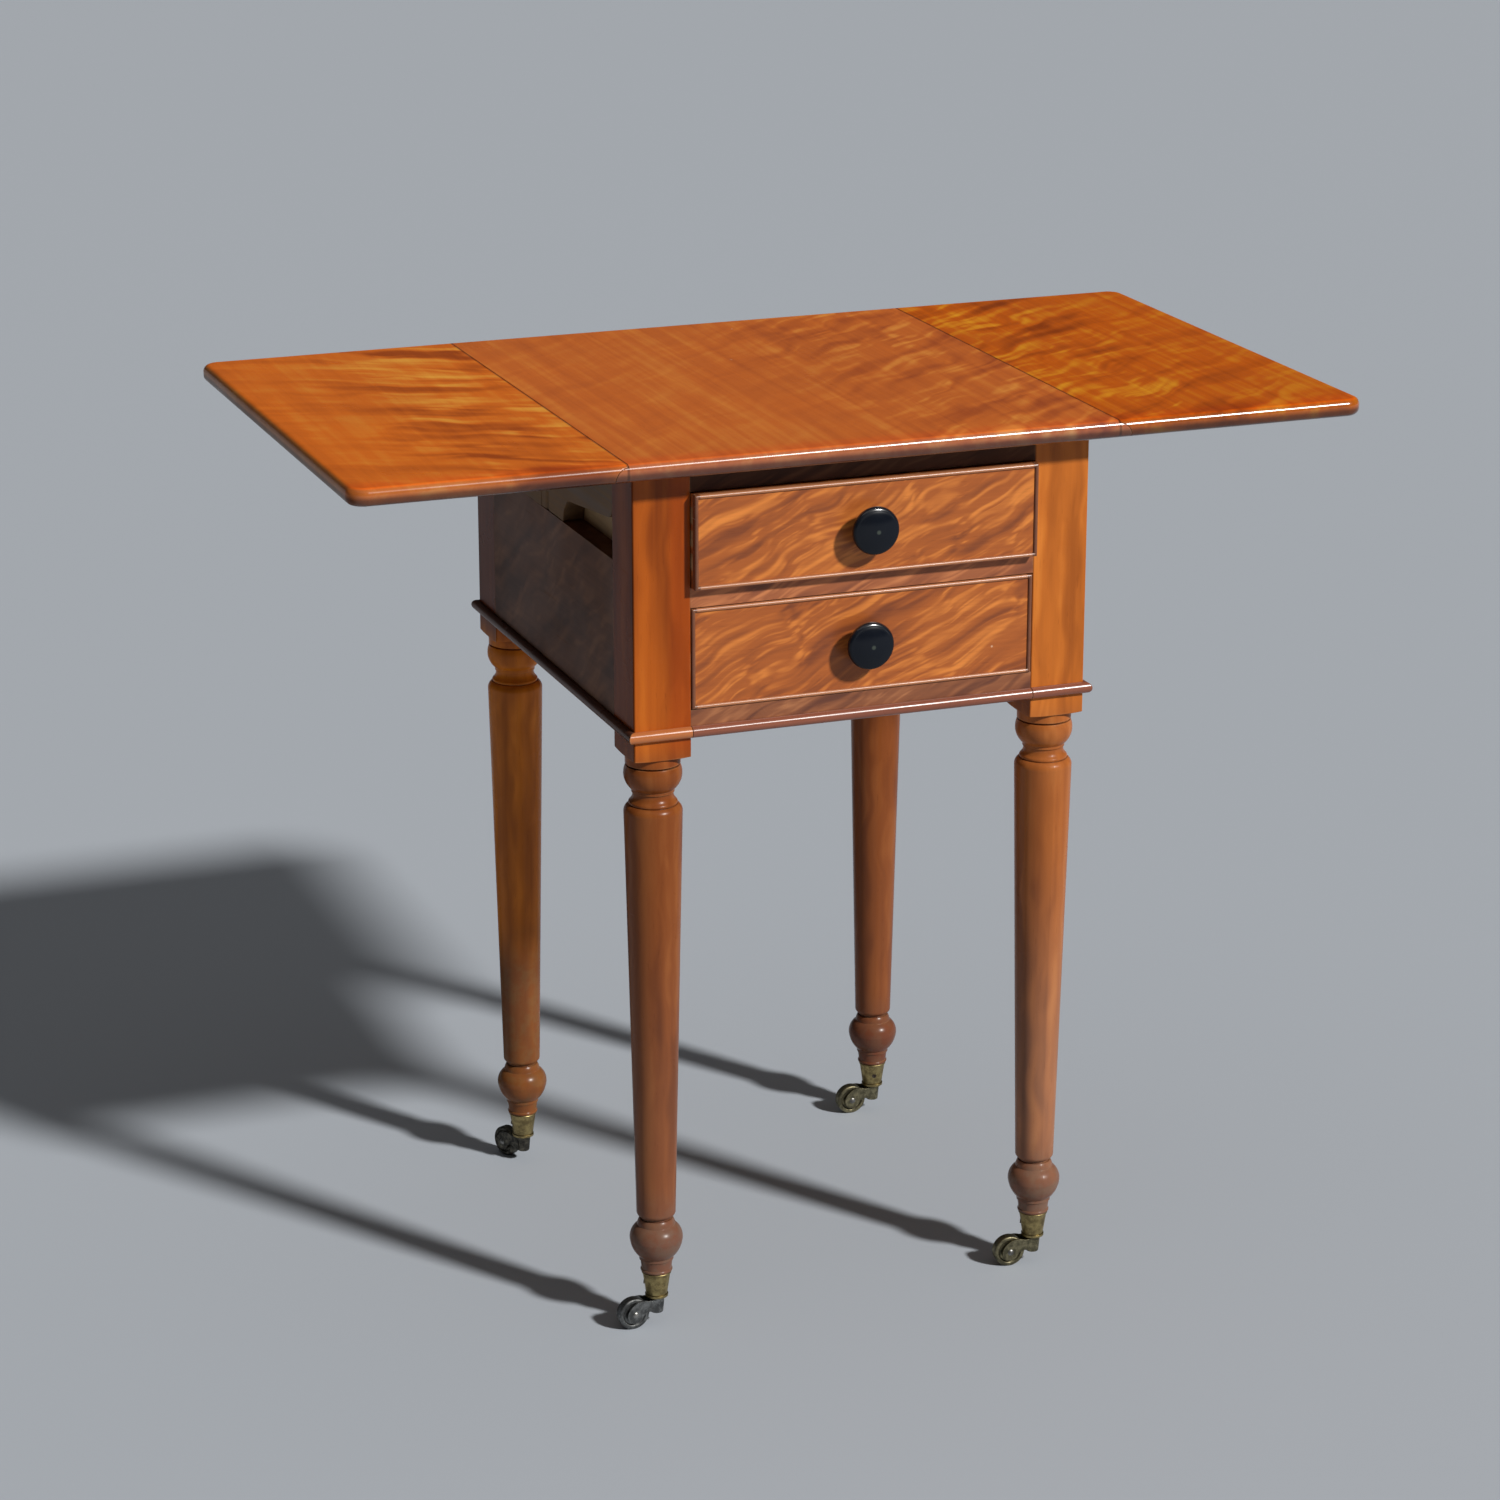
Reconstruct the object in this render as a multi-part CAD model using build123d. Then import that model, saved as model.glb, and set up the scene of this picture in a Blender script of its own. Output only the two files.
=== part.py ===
from build123d import *
import math
import os

# Drop-leaf work table with two drawers, fly brackets and brass castors.
# Millimetres. The origin is on the floor under the middle of the top,
# +Z is up and the drawers face -Y.

# Top: a fixed board and two leaves that meet it in rule joints
height = 723.0
top_depth = 454.0
top_thickness = 14.0
board_width = 400.0
leaf_width = 213.0
leaf_corner = 14.0
top_edge_round = 5.5
rule_lip = 2.2
rule_gap = 0.4

# Table hinges let into the underside of the top
hinge_spacing = 356.0
hinge_width = 36.0
hinge_thickness = 1.5
hinge_barrel = 2.3
hinge_pin = 1.2
hinge_pin_rise = 1.8
board_flap = 30.0
leaf_flap = 50.0
flap_room = 0.4

# Case: square posts with rails and panels between them
case_width = 376.0
case_depth = 395.0
post_size = 46.0
post_edge_round = 1.5
panel_thickness = 18.0
back_thickness = 16.0
inner_rail_thickness = 12.0
inner_rail_lap = 13.0
rail_behind_post = 4.0
top_rail_height = 18.5
upper_opening = 75.0
middle_rail_height = 15.5
lower_opening = 80.5
bottom_rail_height = 22.0
tenon_length = 14.0
tenon_inset = 3.0
tenon_setback = 7.0
tongue_length = 8.0
tongue_thickness = 8.0
tongue_inset = 10.0

# Half-round moulding round the bottom of the case
moulding_height = 9.0
moulding_projection = 5.5
moulding_break = 0.5

# Fly brackets: the notch in each side and the wooden knuckle
notch_height = 78.0
knuckle_y = 14.0
knuckle_fingers = 5
finger_gap = 0.3
knuckle_room = 0.4
fly_clearance = 0.3
fly_pin_radius = 2.5
bracket_heel = 45.0
bracket_cove = 20.0
bracket_rise = 10.0
bracket_nose = 10.0
bracket_end_gap = 1.0

# Drawers
drawer_ajar = 8.0
drawer_side_gap = 0.7
drawer_top_gap = 0.7
drawer_seat_gap = 0.3
drawer_front_thickness = 18.0
drawer_length = 343.0
drawer_side_thickness = 9.0
drawer_side_drop = 4.0
drawer_back_thickness = 9.0
drawer_back_drop = 4.0
drawer_bottom_thickness = 5.0
drawer_bottom_rise = 7.0
drawer_groove = 4.0
dovetail_lap = 4.0
dovetail_count = 3
dovetail_slope = 6.0
bead_thickness = 3.0
bead_proud = 1.8
runner_width = 16.0
guide_height = 15.0
stop_thickness = 4.0
stop_depth = 20.0
stop_width = 30.0
stop_gap = 0.5

# Knobs
knob_radius = 19.0
knob_rim = 7.0
knob_rim_bulge = 3.0
knob_reach = 21.0
knob_dome = 3.0
knob_neck_hollow = 2.9
knob_foot = 11.0
knob_foot_height = 3.0
knob_foot_round = 1.2
knob_spigot = 5.0

# Legs: upper turning, measured down from the square block
block_drop = 16.5
pommel_rise = 2.0
pommel_bulge = 0.4
pommel_radius = 21.6
pommel_height = 7.2
groove_height = 1.4
groove_radius = 19.8
bun_height = 19.4
bun_top_radius = 21.4
bun_foot_radius = 17.2
bun_bulge = 3.3
fillet_height = 2.5
fillet_radius = 16.8
neck_radius = 16.0
collar_height = 10.0
collar_radius = 18.6
collar_hollow = 1.0
collar_lip = 2.8
collar_lip_bulge = 0.6
shoulder_height = 6.0
shoulder_radius = 19.6
shoulder_bulge = 0.9
shaft_top_radius = 23.0

# Legs: lower turning, heights above the floor
shaft_foot = 98.5
shaft_foot_radius = 15.7
shaft_end = 94.5
shaft_end_radius = 12.8
shaft_end_bulge = 0.9
ankle = 92.6
ankle_radius = 12.3
foot_collar = 87.2
foot_collar_top_radius = 13.3
foot_collar_radius = 15.2
foot_collar_bulge = 0.5
bulb_middle = 75.2
bulb_radius = 21.3
bulb_shoulder_bulge = 1.8
bulb_foot_bulge = 1.5
bulb_end = 60.2
bulb_end_radius = 14.4
foot_fillet_height = 3.0
foot_fillet_radius = 13.8
foot_cone_radius = 13.2
foot_cone_hollow = 0.2
foot_ring = 49.4
foot_ring_height = 2.6
foot_ring_bulge = 0.7
foot_neck_radius = 12.2

# Castors
cup_top = 46.4
cup_bottom = 24.6
cup_top_radius = 11.2
cup_bottom_radius = 8.5
cup_wall = 1.0
cup_base = 3.0
cup_rim = 0.8
cup_rim_height = 1.8
cup_clearance = 0.1
foot_end_gap = 2.8
pintle_radius = 2.5
pintle_head_radius = 4.0
pintle_head_height = 1.6
pintle_head_chamfer = 1.0
running_clearance = 0.05
swivel_gap = 0.3
horn_radius = 6.3
horn_foot_radius = 5.3
horn_foot_height = 10.2
horn_foot_round = 1.0
horn_flange = 0.8
horn_flange_height = 1.4
cheek_thickness = 1.8
cheek_gap = 0.5
cheek_boss = 7.0
cheek_boss_low = -140.0
cheek_boss_high = 20.0
cheek_root = 3.6
cheek_root_height = 11.5
cheek_hollow = 3.7
cheek_shoulder = 9.5
cheek_crown = 4.0
wheel_radius = 13.0
wheel_width = 8.4
wheel_round = 1.5
wheel_rim = 3.0
wheel_dish = 1.2
wheel_hub = 4.5
axle_radius = 1.8
axle_head = 2.7
axle_head_height = 1.0
castor_trail = 21.0

# Direction of each castor's trail, in degrees from +X
castor_turns = {"front_left": 185.0, "front_right": 176.0, "back_left": 114.0, "back_right": 179.0}

# Places worked out from the sizes above
underside = height - top_thickness
joint_x = board_width / 2
leaf_edge = joint_x + leaf_width
pin_z = underside + hinge_pin_rise
rule_radius = height - rule_lip - pin_z
case_x = case_width / 2
case_y = case_depth / 2
post_x = case_x - post_size
post_y = case_y - post_size
top_rail_z = underside - top_rail_height
upper_sill = top_rail_z - upper_opening
lower_lintel = upper_sill - middle_rail_height
lower_sill = lower_lintel - lower_opening
case_bottom = lower_sill - bottom_rail_height
block_bottom = case_bottom - block_drop
notch_z = underside - notch_height
panel_x = case_x - panel_thickness
inner_rail_x = panel_x - inner_rail_thickness
fly_x = case_x - panel_thickness / 2
fly_half = panel_thickness / 2 - fly_clearance
knuckle_reach = panel_thickness / 2 + knuckle_room
rail_back = -post_y + rail_behind_post
bead_depth = dovetail_lap

# How far a cutting shape runs past what it cuts
over = 5.0


def block(x, y, z):
    """Box between pairs of coordinates."""
    size = [high - low for low, high in (x, y, z)]
    middle = [(high + low) / 2 for low, high in (x, y, z)]
    return Pos(*middle) * Box(*size)


def outline(start, *moves):
    """Closed face, drawn anticlockwise.

    A move is the next corner, with a bulge after it where the way there is an arc: the arc
    swells out of the face by that much, or hollows into it where the bulge is negative.
    """
    edges = []
    here = start
    for x, y, *bulge in moves:
        if bulge:
            across, up = x - here[0], y - here[1]
            share = bulge[0] / math.hypot(across, up)
            middle = ((here[0] + x) / 2 + up * share, (here[1] + y) / 2 - across * share)
            edges.append(ThreePointArc(here, middle, (x, y)))
        else:
            edges.append(Line(here, (x, y)))
        here = (x, y)
    edges.append(Line(here, start))
    return make_face(edges)


def sag(radius, degrees):
    """Bulge of an arc of a given radius and turn."""
    return radius * (1 - math.cos(math.radians(degrees) / 2))


def upright(radius, low, high, x=0.0, y=0.0):
    """Vertical cylinder between two heights."""
    return Pos(x, y, (low + high) / 2) * Cylinder(radius, high - low)


def rod(radius, x, z, low, high):
    """Cylinder along Y between two depths."""
    return Pos(x, (low + high) / 2, z) * Rot(90, 0, 0) * Cylinder(radius, high - low)


def flip(shape):
    """The same piece on the other side of the table."""
    return mirror(shape, about=Plane.YZ)


def on_arc(centre, radius, degrees):
    """Point of a circle in an outline."""
    turn = math.radians(degrees)
    return (centre[0] + radius * math.cos(turn), centre[1] + radius * math.sin(turn))


def cap(radius, rise):
    """Bulge of an arc from a rim to the axis, on a sphere centred on the axis."""
    ball = (radius**2 + rise**2) / (2 * rise)
    return sag(ball, math.degrees(math.asin(radius / ball)))


def save(name, *shapes):
    """One STEP file for a node, with every solid of the shapes."""
    solids = [solid for shape in shapes for solid in shape.solids()]
    export_step(Compound(solids), f"parts/{name}.step")


# Top


def top_slab():
    """The whole top as one plate with rounded corners and edges."""
    plate = block((-leaf_edge, leaf_edge), (-top_depth / 2, top_depth / 2), (underside, height))
    plate = fillet(plate.edges().filter_by(Axis.Z), leaf_corner)
    faces = plate.faces().sort_by(Axis.Z)
    return fillet(faces[0].edges() + faces[-1].edges(), top_edge_round)


def along_y(face):
    """Prism through the whole depth of the top from a face drawn in X and Z."""
    return extrude(Plane.XZ * face, amount=top_depth, both=True)


def board_prism():
    """Space of the fixed board, with the ovolo of the rule joint on both edges."""
    edge = joint_x + rule_radius
    right = outline(
        (0, underside - over),
        (edge, underside - over),
        (edge, pin_z),
        (joint_x, height - rule_lip, sag(rule_radius, 90)),
        (joint_x, height + over),
        (0, height + over),
    )
    prism = along_y(right)
    return prism + flip(prism)


def leaf_prism():
    """Space of the right leaf, with the cove that closes over the ovolo."""
    radius = rule_radius + rule_gap
    edge = joint_x + radius
    far = leaf_edge + over
    lip_turn = math.degrees(math.acos(rule_gap / radius))
    return along_y(
        outline(
            (edge, underside - over),
            (far, underside - over),
            (far, height + over),
            (joint_x + rule_gap, height + over),
            on_arc((joint_x, pin_z), radius, lip_turn),
            (edge, pin_z, -sag(radius, lip_turn)),
        )
    )


def hinge_places():
    return [-hinge_spacing / 2, hinge_spacing / 2]


def hinge_parts(y):
    """Board flap, leaf flap and pin of the right-hand hinge at one depth."""
    half = hinge_width / 2
    middle = hinge_width / 6
    gap = flap_room / 2
    clear = hinge_barrel + flap_room
    z = (underside, underside + hinge_thickness)
    board_side = block((joint_x - board_flap, joint_x), (y - half, y + half), z)
    board_side -= block((joint_x - clear, joint_x + clear), (y - middle - gap, y + middle + gap), z)
    for low, high in ((y - half, y - middle - gap), (y + middle + gap, y + half)):
        board_side += rod(hinge_barrel, joint_x, pin_z, low, high)
    leaf_side = block((joint_x + clear, joint_x + leaf_flap), (y - half, y + half), z)
    leaf_side += block((joint_x, joint_x + clear), (y - middle, y + middle), z)
    leaf_side += rod(hinge_barrel, joint_x, pin_z, y - middle, y + middle)
    pin_hole = rod(hinge_pin + running_clearance, joint_x, pin_z, y - half, y + half)
    pin = rod(hinge_pin, joint_x, pin_z, y - half, y + half)
    return board_side - pin_hole, leaf_side - pin_hole, pin


def hinge_room(y):
    """Space cut from the underside of the board for a barrel and the inner end of a leaf flap."""
    half = hinge_width / 2 + flap_room
    clear = hinge_barrel + flap_room
    room = rod(clear, joint_x, pin_z, y - half, y + half)
    room += block((joint_x - clear, joint_x + clear), (y - half, y + half), (underside - over, pin_z))
    flap_top = underside + hinge_thickness + flap_room
    reach = joint_x + rule_radius + over
    room += block((joint_x, reach), (y - half, y + half), (underside - over, flap_top))
    return room


def make_top():
    slab = top_slab()
    board = slab & board_prism()
    leaf = slab & leaf_prism()
    board_sides = []
    leaf_sides = []
    pins = []
    for y in hinge_places():
        board_side, leaf_side, pin = hinge_parts(y)
        board_sides.append(board_side)
        leaf_sides.append(leaf_side)
        pins.append(pin)
        leaf -= leaf_side
        for cut in (board_side, hinge_room(y)):
            board -= cut
            board -= flip(cut)
    save("top_board", board)
    save("leaf_right", leaf)
    save("leaf_left", flip(leaf))
    for name, parts in (("board_flaps", board_sides), ("leaf_flaps", leaf_sides), ("hinge_pins", pins)):
        save(f"{name}_right", *parts)
        save(f"{name}_left", *[flip(part) for part in parts])


# Case


def rail(low, high):
    """Front rail with a tenon at each end."""
    bar = block((-post_x, post_x), (-case_y, rail_back), (low, high))
    tenon_y = (-case_y + tenon_setback, -post_y - tenon_setback)
    reach = post_x + tenon_length
    return bar + block((-reach, reach), tenon_y, (low + tenon_inset, high - tenon_inset))


def side_panel():
    """Right side below the notch, tongued into both posts."""
    panel = block((panel_x, case_x), (-post_y, post_y), (case_bottom, notch_z))
    tongue_x = (fly_x - tongue_thickness / 2, fly_x + tongue_thickness / 2)
    reach = post_y + tongue_length
    return panel + block(tongue_x, (-reach, reach), (case_bottom + tongue_inset, notch_z - tongue_inset))


def back_panel():
    panel = block((-post_x, post_x), (case_y - back_thickness, case_y), (case_bottom, underside))
    middle = case_y - back_thickness / 2
    tongue_y = (middle - tongue_thickness / 2, middle + tongue_thickness / 2)
    reach = post_x + tongue_length
    return panel + block((-reach, reach), tongue_y, (case_bottom + tongue_inset, underside - tongue_inset))


def inner_rail():
    """Right inner rail, which closes the notch behind the fly bracket."""
    low = notch_z - inner_rail_lap
    bar = block((inner_rail_x, panel_x), (-post_y, post_y), (low, underside))
    middle = inner_rail_x + inner_rail_thickness / 2
    tongue_x = (middle - tongue_thickness / 2, middle + tongue_thickness / 2)
    reach = post_y + tongue_length
    return bar + block(tongue_x, (-reach, reach), (low + tongue_inset, underside - tongue_inset))


def finger_heights(index):
    """Lowest and highest point of one knuckle finger, counted from below."""
    pitch = (underside - notch_z) / knuckle_fingers
    low = notch_z + index * pitch
    return low + finger_gap / 2, low + pitch - finger_gap / 2


def knuckle(index, reach):
    """One finger, from the pin to the shoulder of the piece that carries it."""
    low, high = finger_heights(index)
    ends = sorted((knuckle_y, knuckle_y + reach))
    finger = upright(fly_half, low, high, fly_x, knuckle_y)
    return finger + block((fly_x - fly_half, fly_x + fly_half), ends, (low, high))


def pin_room():
    return upright(fly_pin_radius + running_clearance, notch_z, underside, fly_x, knuckle_y)


def fly_rail():
    """Fixed rear half of the right fly rail, with the odd fingers of the knuckle."""
    bar = block((panel_x, case_x), (knuckle_y + knuckle_reach, post_y), (notch_z, underside))
    for index in range(0, knuckle_fingers, 2):
        bar += knuckle(index, knuckle_reach)
    return bar - pin_room()


def bracket_side():
    """Right bracket seen from the side, in distance from the pin and height."""
    low = notch_z + 2 * fly_clearance
    high = underside - fly_clearance
    end = knuckle_y + post_y - bracket_end_gap
    arch = low + bracket_cove
    nose_z = arch + bracket_rise
    return outline(
        (knuckle_reach, low),
        (bracket_heel, low),
        (bracket_heel + bracket_cove, arch, -sag(bracket_cove, 90)),
        (end - bracket_nose, nose_z),
        (end, nose_z + bracket_nose, sag(bracket_nose, 90)),
        (end, high),
        (knuckle_reach, high),
    )


def fly_bracket():
    """Right swinging bracket, closed, with the even fingers of the knuckle."""
    side = Plane((fly_x, knuckle_y, 0), x_dir=(0, -1, 0), z_dir=(-1, 0, 0)) * bracket_side()
    arm = extrude(side, amount=fly_half, both=True)
    for index in range(1, knuckle_fingers, 2):
        arm += knuckle(index, -knuckle_reach)
    return arm - pin_room()


def fly_pin():
    return upright(fly_pin_radius, notch_z, underside, fly_x, knuckle_y)


def moulding(length_axis):
    """Half-round strips for one direction, mitred at the corners of the case."""
    top = case_bottom + moulding_height
    flat = moulding_projection - moulding_height / 2
    half_round = outline(
        (0, case_bottom),
        (flat, case_bottom),
        (flat, top, moulding_height / 2),
        (0, top),
    )
    reach = 2 * moulding_projection
    if length_axis == "x":
        start = Plane((0, -case_y, 0), x_dir=(0, -1, 0), z_dir=(-1, 0, 0))
        corners = [
            (-case_x, -case_y),
            (case_x, -case_y),
            (case_x + reach, -case_y - reach),
            (-case_x - reach, -case_y - reach),
        ]
        length = case_x + reach
    else:
        start = Plane((case_x, 0, 0), x_dir=(1, 0, 0), z_dir=(0, -1, 0))
        corners = [
            (case_x, -case_y),
            (case_x + reach, -case_y - reach),
            (case_x + reach, case_y + reach),
            (case_x, case_y),
        ]
        length = case_y + reach
    strip = extrude(start * half_round, amount=length, both=True)
    plan = make_face(Polyline(*corners, close=True))
    return strip & extrude(plan, amount=case_bottom + 2 * moulding_height, dir=(0, 0, 1))


def front_moulding():
    """The front strip in three lengths, with breaks where the rail meets the posts."""
    strip = moulding("x")
    y = (-case_y - 2 * moulding_projection, -case_y)
    z = (case_bottom, case_bottom + moulding_height)
    for x in (-post_x, post_x):
        strip -= block((x - moulding_break / 2, x + moulding_break / 2), y, z)
    return strip


def runners(sill, height_below):
    """Pair of drawer runners with their side guides, level with a front rail."""
    y = (rail_back, post_y)
    runner = block((post_x - runner_width, panel_x), y, (sill - height_below, sill))
    guide = block((post_x, inner_rail_x), y, (sill, sill + guide_height))
    return [runner, guide, flip(runner), flip(guide)]


def kickers():
    """Pair of strips above the upper drawer that stop it from tipping."""
    strip = block((post_x - runner_width, inner_rail_x), (rail_back, post_y), (top_rail_z, underside))
    return [strip, flip(strip)]


def stops():
    """Blocks on the rails that meet the back of each closed drawer front."""
    front = -case_y + drawer_front_thickness + stop_gap
    pieces = []
    for sill in (upper_sill, lower_sill):
        for x in (-post_x / 2, post_x / 2):
            across = (x - stop_width / 2, x + stop_width / 2)
            pieces.append(block(across, (front, front + stop_depth), (sill, sill + stop_thickness)))
    return pieces


def make_case():
    front_rails = {
        "front_top_rail": rail(top_rail_z, underside),
        "front_middle_rail": rail(lower_lintel, upper_sill),
        "front_bottom_rail": rail(case_bottom, lower_sill),
    }
    for name, bar in front_rails.items():
        save(name, bar)
    back = back_panel()
    save("back_panel", back)
    right_pieces = {
        "side_panel": side_panel(),
        "inner_rail": inner_rail(),
        "fly_rail": fly_rail(),
        "fly_bracket": fly_bracket(),
        "fly_pin": fly_pin(),
    }
    for name, piece in right_pieces.items():
        save(f"{name}_right", piece)
        save(f"{name}_left", flip(piece))
    side_strip = moulding("y")
    save("moulding_front", front_moulding())
    save("moulding_back", mirror(moulding("x"), about=Plane.XZ))
    save("moulding_right", side_strip)
    save("moulding_left", flip(side_strip))
    save("upper_runners", *runners(upper_sill, middle_rail_height))
    save("lower_runners", *runners(lower_sill, bottom_rail_height))
    save("kickers", *kickers())
    save("drawer_stops", *stops())
    side_tongues = right_pieces["side_panel"] + right_pieces["inner_rail"]
    make_legs(list(front_rails.values()), back, side_tongues)


# Legs


def post():
    """Square top of a leg with a turned shoulder below, eased along its outer corner at +X and +Y."""
    half = post_size / 2
    square = block((-half, half), (-half, half), (block_bottom, underside))
    outward = Axis((0, 0, 0), (1, 1, 0))
    square = fillet(square.edges().filter_by(Axis.Z).sort_by(outward)[-1], post_edge_round)
    reach = half * math.sqrt(2) + over
    shoulder = outline(
        (0, block_bottom),
        (pommel_radius, block_bottom),
        (reach, block_bottom + pommel_rise, pommel_bulge),
        (reach, underside),
        (0, underside),
    )
    return square & revolve(Plane.XZ * shoulder, axis=Axis.Z)


def cup_bore(z):
    """Inside radius of a castor cup at one height."""
    share = (z - cup_bottom) / (cup_top - cup_bottom)
    return cup_bottom_radius + share * (cup_top_radius - cup_bottom_radius) - cup_wall


def turning():
    """Round part of a leg, from its end in the castor cup up to the square block."""
    pommel_end = block_bottom - pommel_height
    bun_top = pommel_end - groove_height
    bun_end = bun_top - bun_height
    neck = bun_end - fillet_height
    collar_end = neck - collar_height
    shaft_top = collar_end - shoulder_height
    cone_top = bulb_end - foot_fillet_height
    foot_end = cup_bottom + cup_base + foot_end_gap
    profile = outline(
        (0, foot_end),
        (cup_bore(foot_end) - cup_clearance, foot_end),
        (cup_bore(cup_top) - cup_clearance, cup_top),
        (cup_top_radius, cup_top),
        (foot_neck_radius, foot_ring - foot_ring_height),
        (foot_neck_radius, foot_ring, foot_ring_bulge),
        (foot_cone_radius, cone_top, -foot_cone_hollow),
        (foot_fillet_radius, cone_top),
        (foot_fillet_radius, bulb_end),
        (bulb_end_radius, bulb_end),
        (bulb_radius, bulb_middle, bulb_foot_bulge),
        (foot_collar_radius, foot_collar, bulb_shoulder_bulge),
        (foot_collar_top_radius, ankle, foot_collar_bulge),
        (ankle_radius, ankle),
        (ankle_radius, shaft_end),
        (shaft_end_radius, shaft_end),
        (shaft_foot_radius, shaft_foot, shaft_end_bulge),
        (shaft_top_radius, shaft_top),
        (shoulder_radius, collar_end, shoulder_bulge),
        (collar_radius, collar_end),
        (collar_radius, collar_end + collar_lip, collar_lip_bulge),
        (neck_radius, neck, -collar_hollow),
        (fillet_radius, neck),
        (fillet_radius, bun_end),
        (bun_foot_radius, bun_end),
        (bun_top_radius, bun_top, bun_bulge),
        (groove_radius, bun_top),
        (groove_radius, pommel_end),
        (pommel_radius, pommel_end),
        (pommel_radius, block_bottom),
        (0, block_bottom),
    )
    return revolve(Plane.XZ * profile, axis=Axis.Z)


def leg_places():
    x = case_x - post_size / 2
    y = case_y - post_size / 2
    return {"front_left": (-x, -y), "front_right": (x, -y), "back_left": (-x, y), "back_right": (x, y)}


def make_legs(front_rails, back, side_tongues):
    """Four legs with the mortises and grooves for the pieces that enter their posts."""
    leg = post() + turning()
    for name, (x, y) in leg_places().items():
        outer_corner = math.degrees(math.atan2(math.copysign(1, y), math.copysign(1, x)))
        placed = Pos(x, y, 0) * Rot(0, 0, outer_corner - 45) * leg
        entering = front_rails if y < 0 else [back]
        for piece in entering:
            placed -= piece
        placed -= side_tongues if x > 0 else flip(side_tongues)
        save(f"leg_{name}", placed)


# Drawers


def drawer_box(sill, opening):
    """Drawer front, sides, back and bottom, closed in its opening."""
    low = sill + drawer_seat_gap
    high = sill + opening - drawer_top_gap
    x = post_x - drawer_side_gap
    inner_x = x - drawer_side_thickness
    front_back = -case_y + drawer_front_thickness
    rear = -case_y + drawer_length
    back_front = rear - drawer_back_thickness
    bottom_z = (low + drawer_bottom_rise, low + drawer_bottom_rise + drawer_bottom_thickness)
    front = block((-x, x), (-case_y, front_back), (low, high))
    bottom = block(
        (-inner_x - drawer_groove, inner_x + drawer_groove),
        (front_back - drawer_groove, rear),
        bottom_z,
    )
    back = block((-x, x), (back_front, rear), (bottom_z[1], high - drawer_side_drop - drawer_back_drop))
    side_high = high - drawer_side_drop
    side = block((inner_x, x), (front_back, back_front), (low, side_high))
    tail_pitch = (side_high - drawer_back_drop - bottom_z[1]) / dovetail_count
    for index in range(dovetail_count):
        z = bottom_z[1] + (index + 0.5) * tail_pitch
        side += dovetail(z, tail_pitch / 4, inner_x, x, front_back, -case_y + dovetail_lap)
        side += dovetail(z, tail_pitch / 4, inner_x, x, back_front, rear)
    side -= bottom
    sides = [side, flip(side)]
    front -= bottom
    for piece in sides:
        front -= piece
        back -= piece
    return front, sides, back, bottom


def dovetail(z, root_half, x_low, x_high, root, tip):
    """One tail, which widens from its root to its tip along Y."""
    tip_half = root_half + abs(tip - root) / dovetail_slope
    corners = [(root, z - root_half), (tip, z - tip_half), (tip, z + tip_half), (root, z + root_half)]
    shape = make_face(Polyline(*corners, close=True))
    return extrude(Pos(x_low, 0, 0) * (Plane.YZ * shape), amount=x_high - x_low, dir=(1, 0, 0))


def cock_bead(sill, opening):
    """Four mitred beads in a rebate round a drawer front."""
    low = sill + drawer_seat_gap
    high = sill + opening - drawer_top_gap
    x = post_x - drawer_side_gap
    nose = bead_thickness / 2
    section = outline(
        (-bead_depth, 0),
        (bead_proud - nose, 0),
        (bead_proud - nose, bead_thickness, nose),
        (-bead_depth, bead_thickness),
    )
    middle = (low + high) / 2
    strips = []
    for centre, half_length, turn in (
        ((0, low), x, 0),
        ((x, middle), middle - low, 90),
        ((0, high), x, 180),
        ((-x, middle), middle - low, 270),
    ):
        plane = Plane((0, 0, 0), x_dir=(0, -1, 0), z_dir=(-1, 0, 0))
        strip = extrude(plane * section, amount=half_length, both=True)
        corner = bead_thickness
        mitre = make_face(
            Polyline(
                (-half_length, 0),
                (half_length, 0),
                (half_length - corner, corner),
                (-half_length + corner, corner),
                close=True,
            )
        )
        strip = strip & extrude(Plane.XZ * mitre, amount=bead_depth + bead_proud, both=True)
        strips.append(Pos(centre[0], -case_y, centre[1]) * Rot(0, -turn, 0) * strip)
    return strips


def knob(z):
    """Turned knob with a spigot that passes through the drawer front."""
    face = knob_reach - knob_dome
    rim = knob_radius - knob_rim_bulge
    profile = outline(
        (0, -drawer_front_thickness),
        (knob_spigot, -drawer_front_thickness),
        (knob_spigot, 0),
        (knob_foot, 0),
        (knob_foot, knob_foot_height - knob_foot_round),
        (knob_foot - knob_foot_round, knob_foot_height, sag(knob_foot_round, 90)),
        (rim, face - knob_rim, -knob_neck_hollow),
        (rim, face, knob_rim_bulge),
        (0, knob_reach, cap(rim, knob_dome)),
    )
    turned = revolve(profile, axis=Axis.Y)
    return Pos(0, -case_y, z) * Rot(180, 0, 0) * turned


def make_drawer(name, sill, opening, ajar):
    """One drawer, pulled out by a given length."""
    pulled = Pos(0, -ajar, 0)
    front, sides, back, bottom = drawer_box(sill, opening)
    beads = cock_bead(sill, opening)
    grip = knob(sill + opening / 2)
    for bead in beads:
        front -= bead
    front -= grip
    save(f"{name}_drawer_front", pulled * front)
    save(f"{name}_drawer_sides", *[pulled * side for side in sides])
    save(f"{name}_drawer_back", pulled * back)
    save(f"{name}_drawer_bottom", pulled * bottom)
    save(f"{name}_cock_bead", *[pulled * bead for bead in beads])
    save(f"{name}_knob", pulled * grip)


# Castors, drawn at the origin with the wheel trailing along +X


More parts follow.
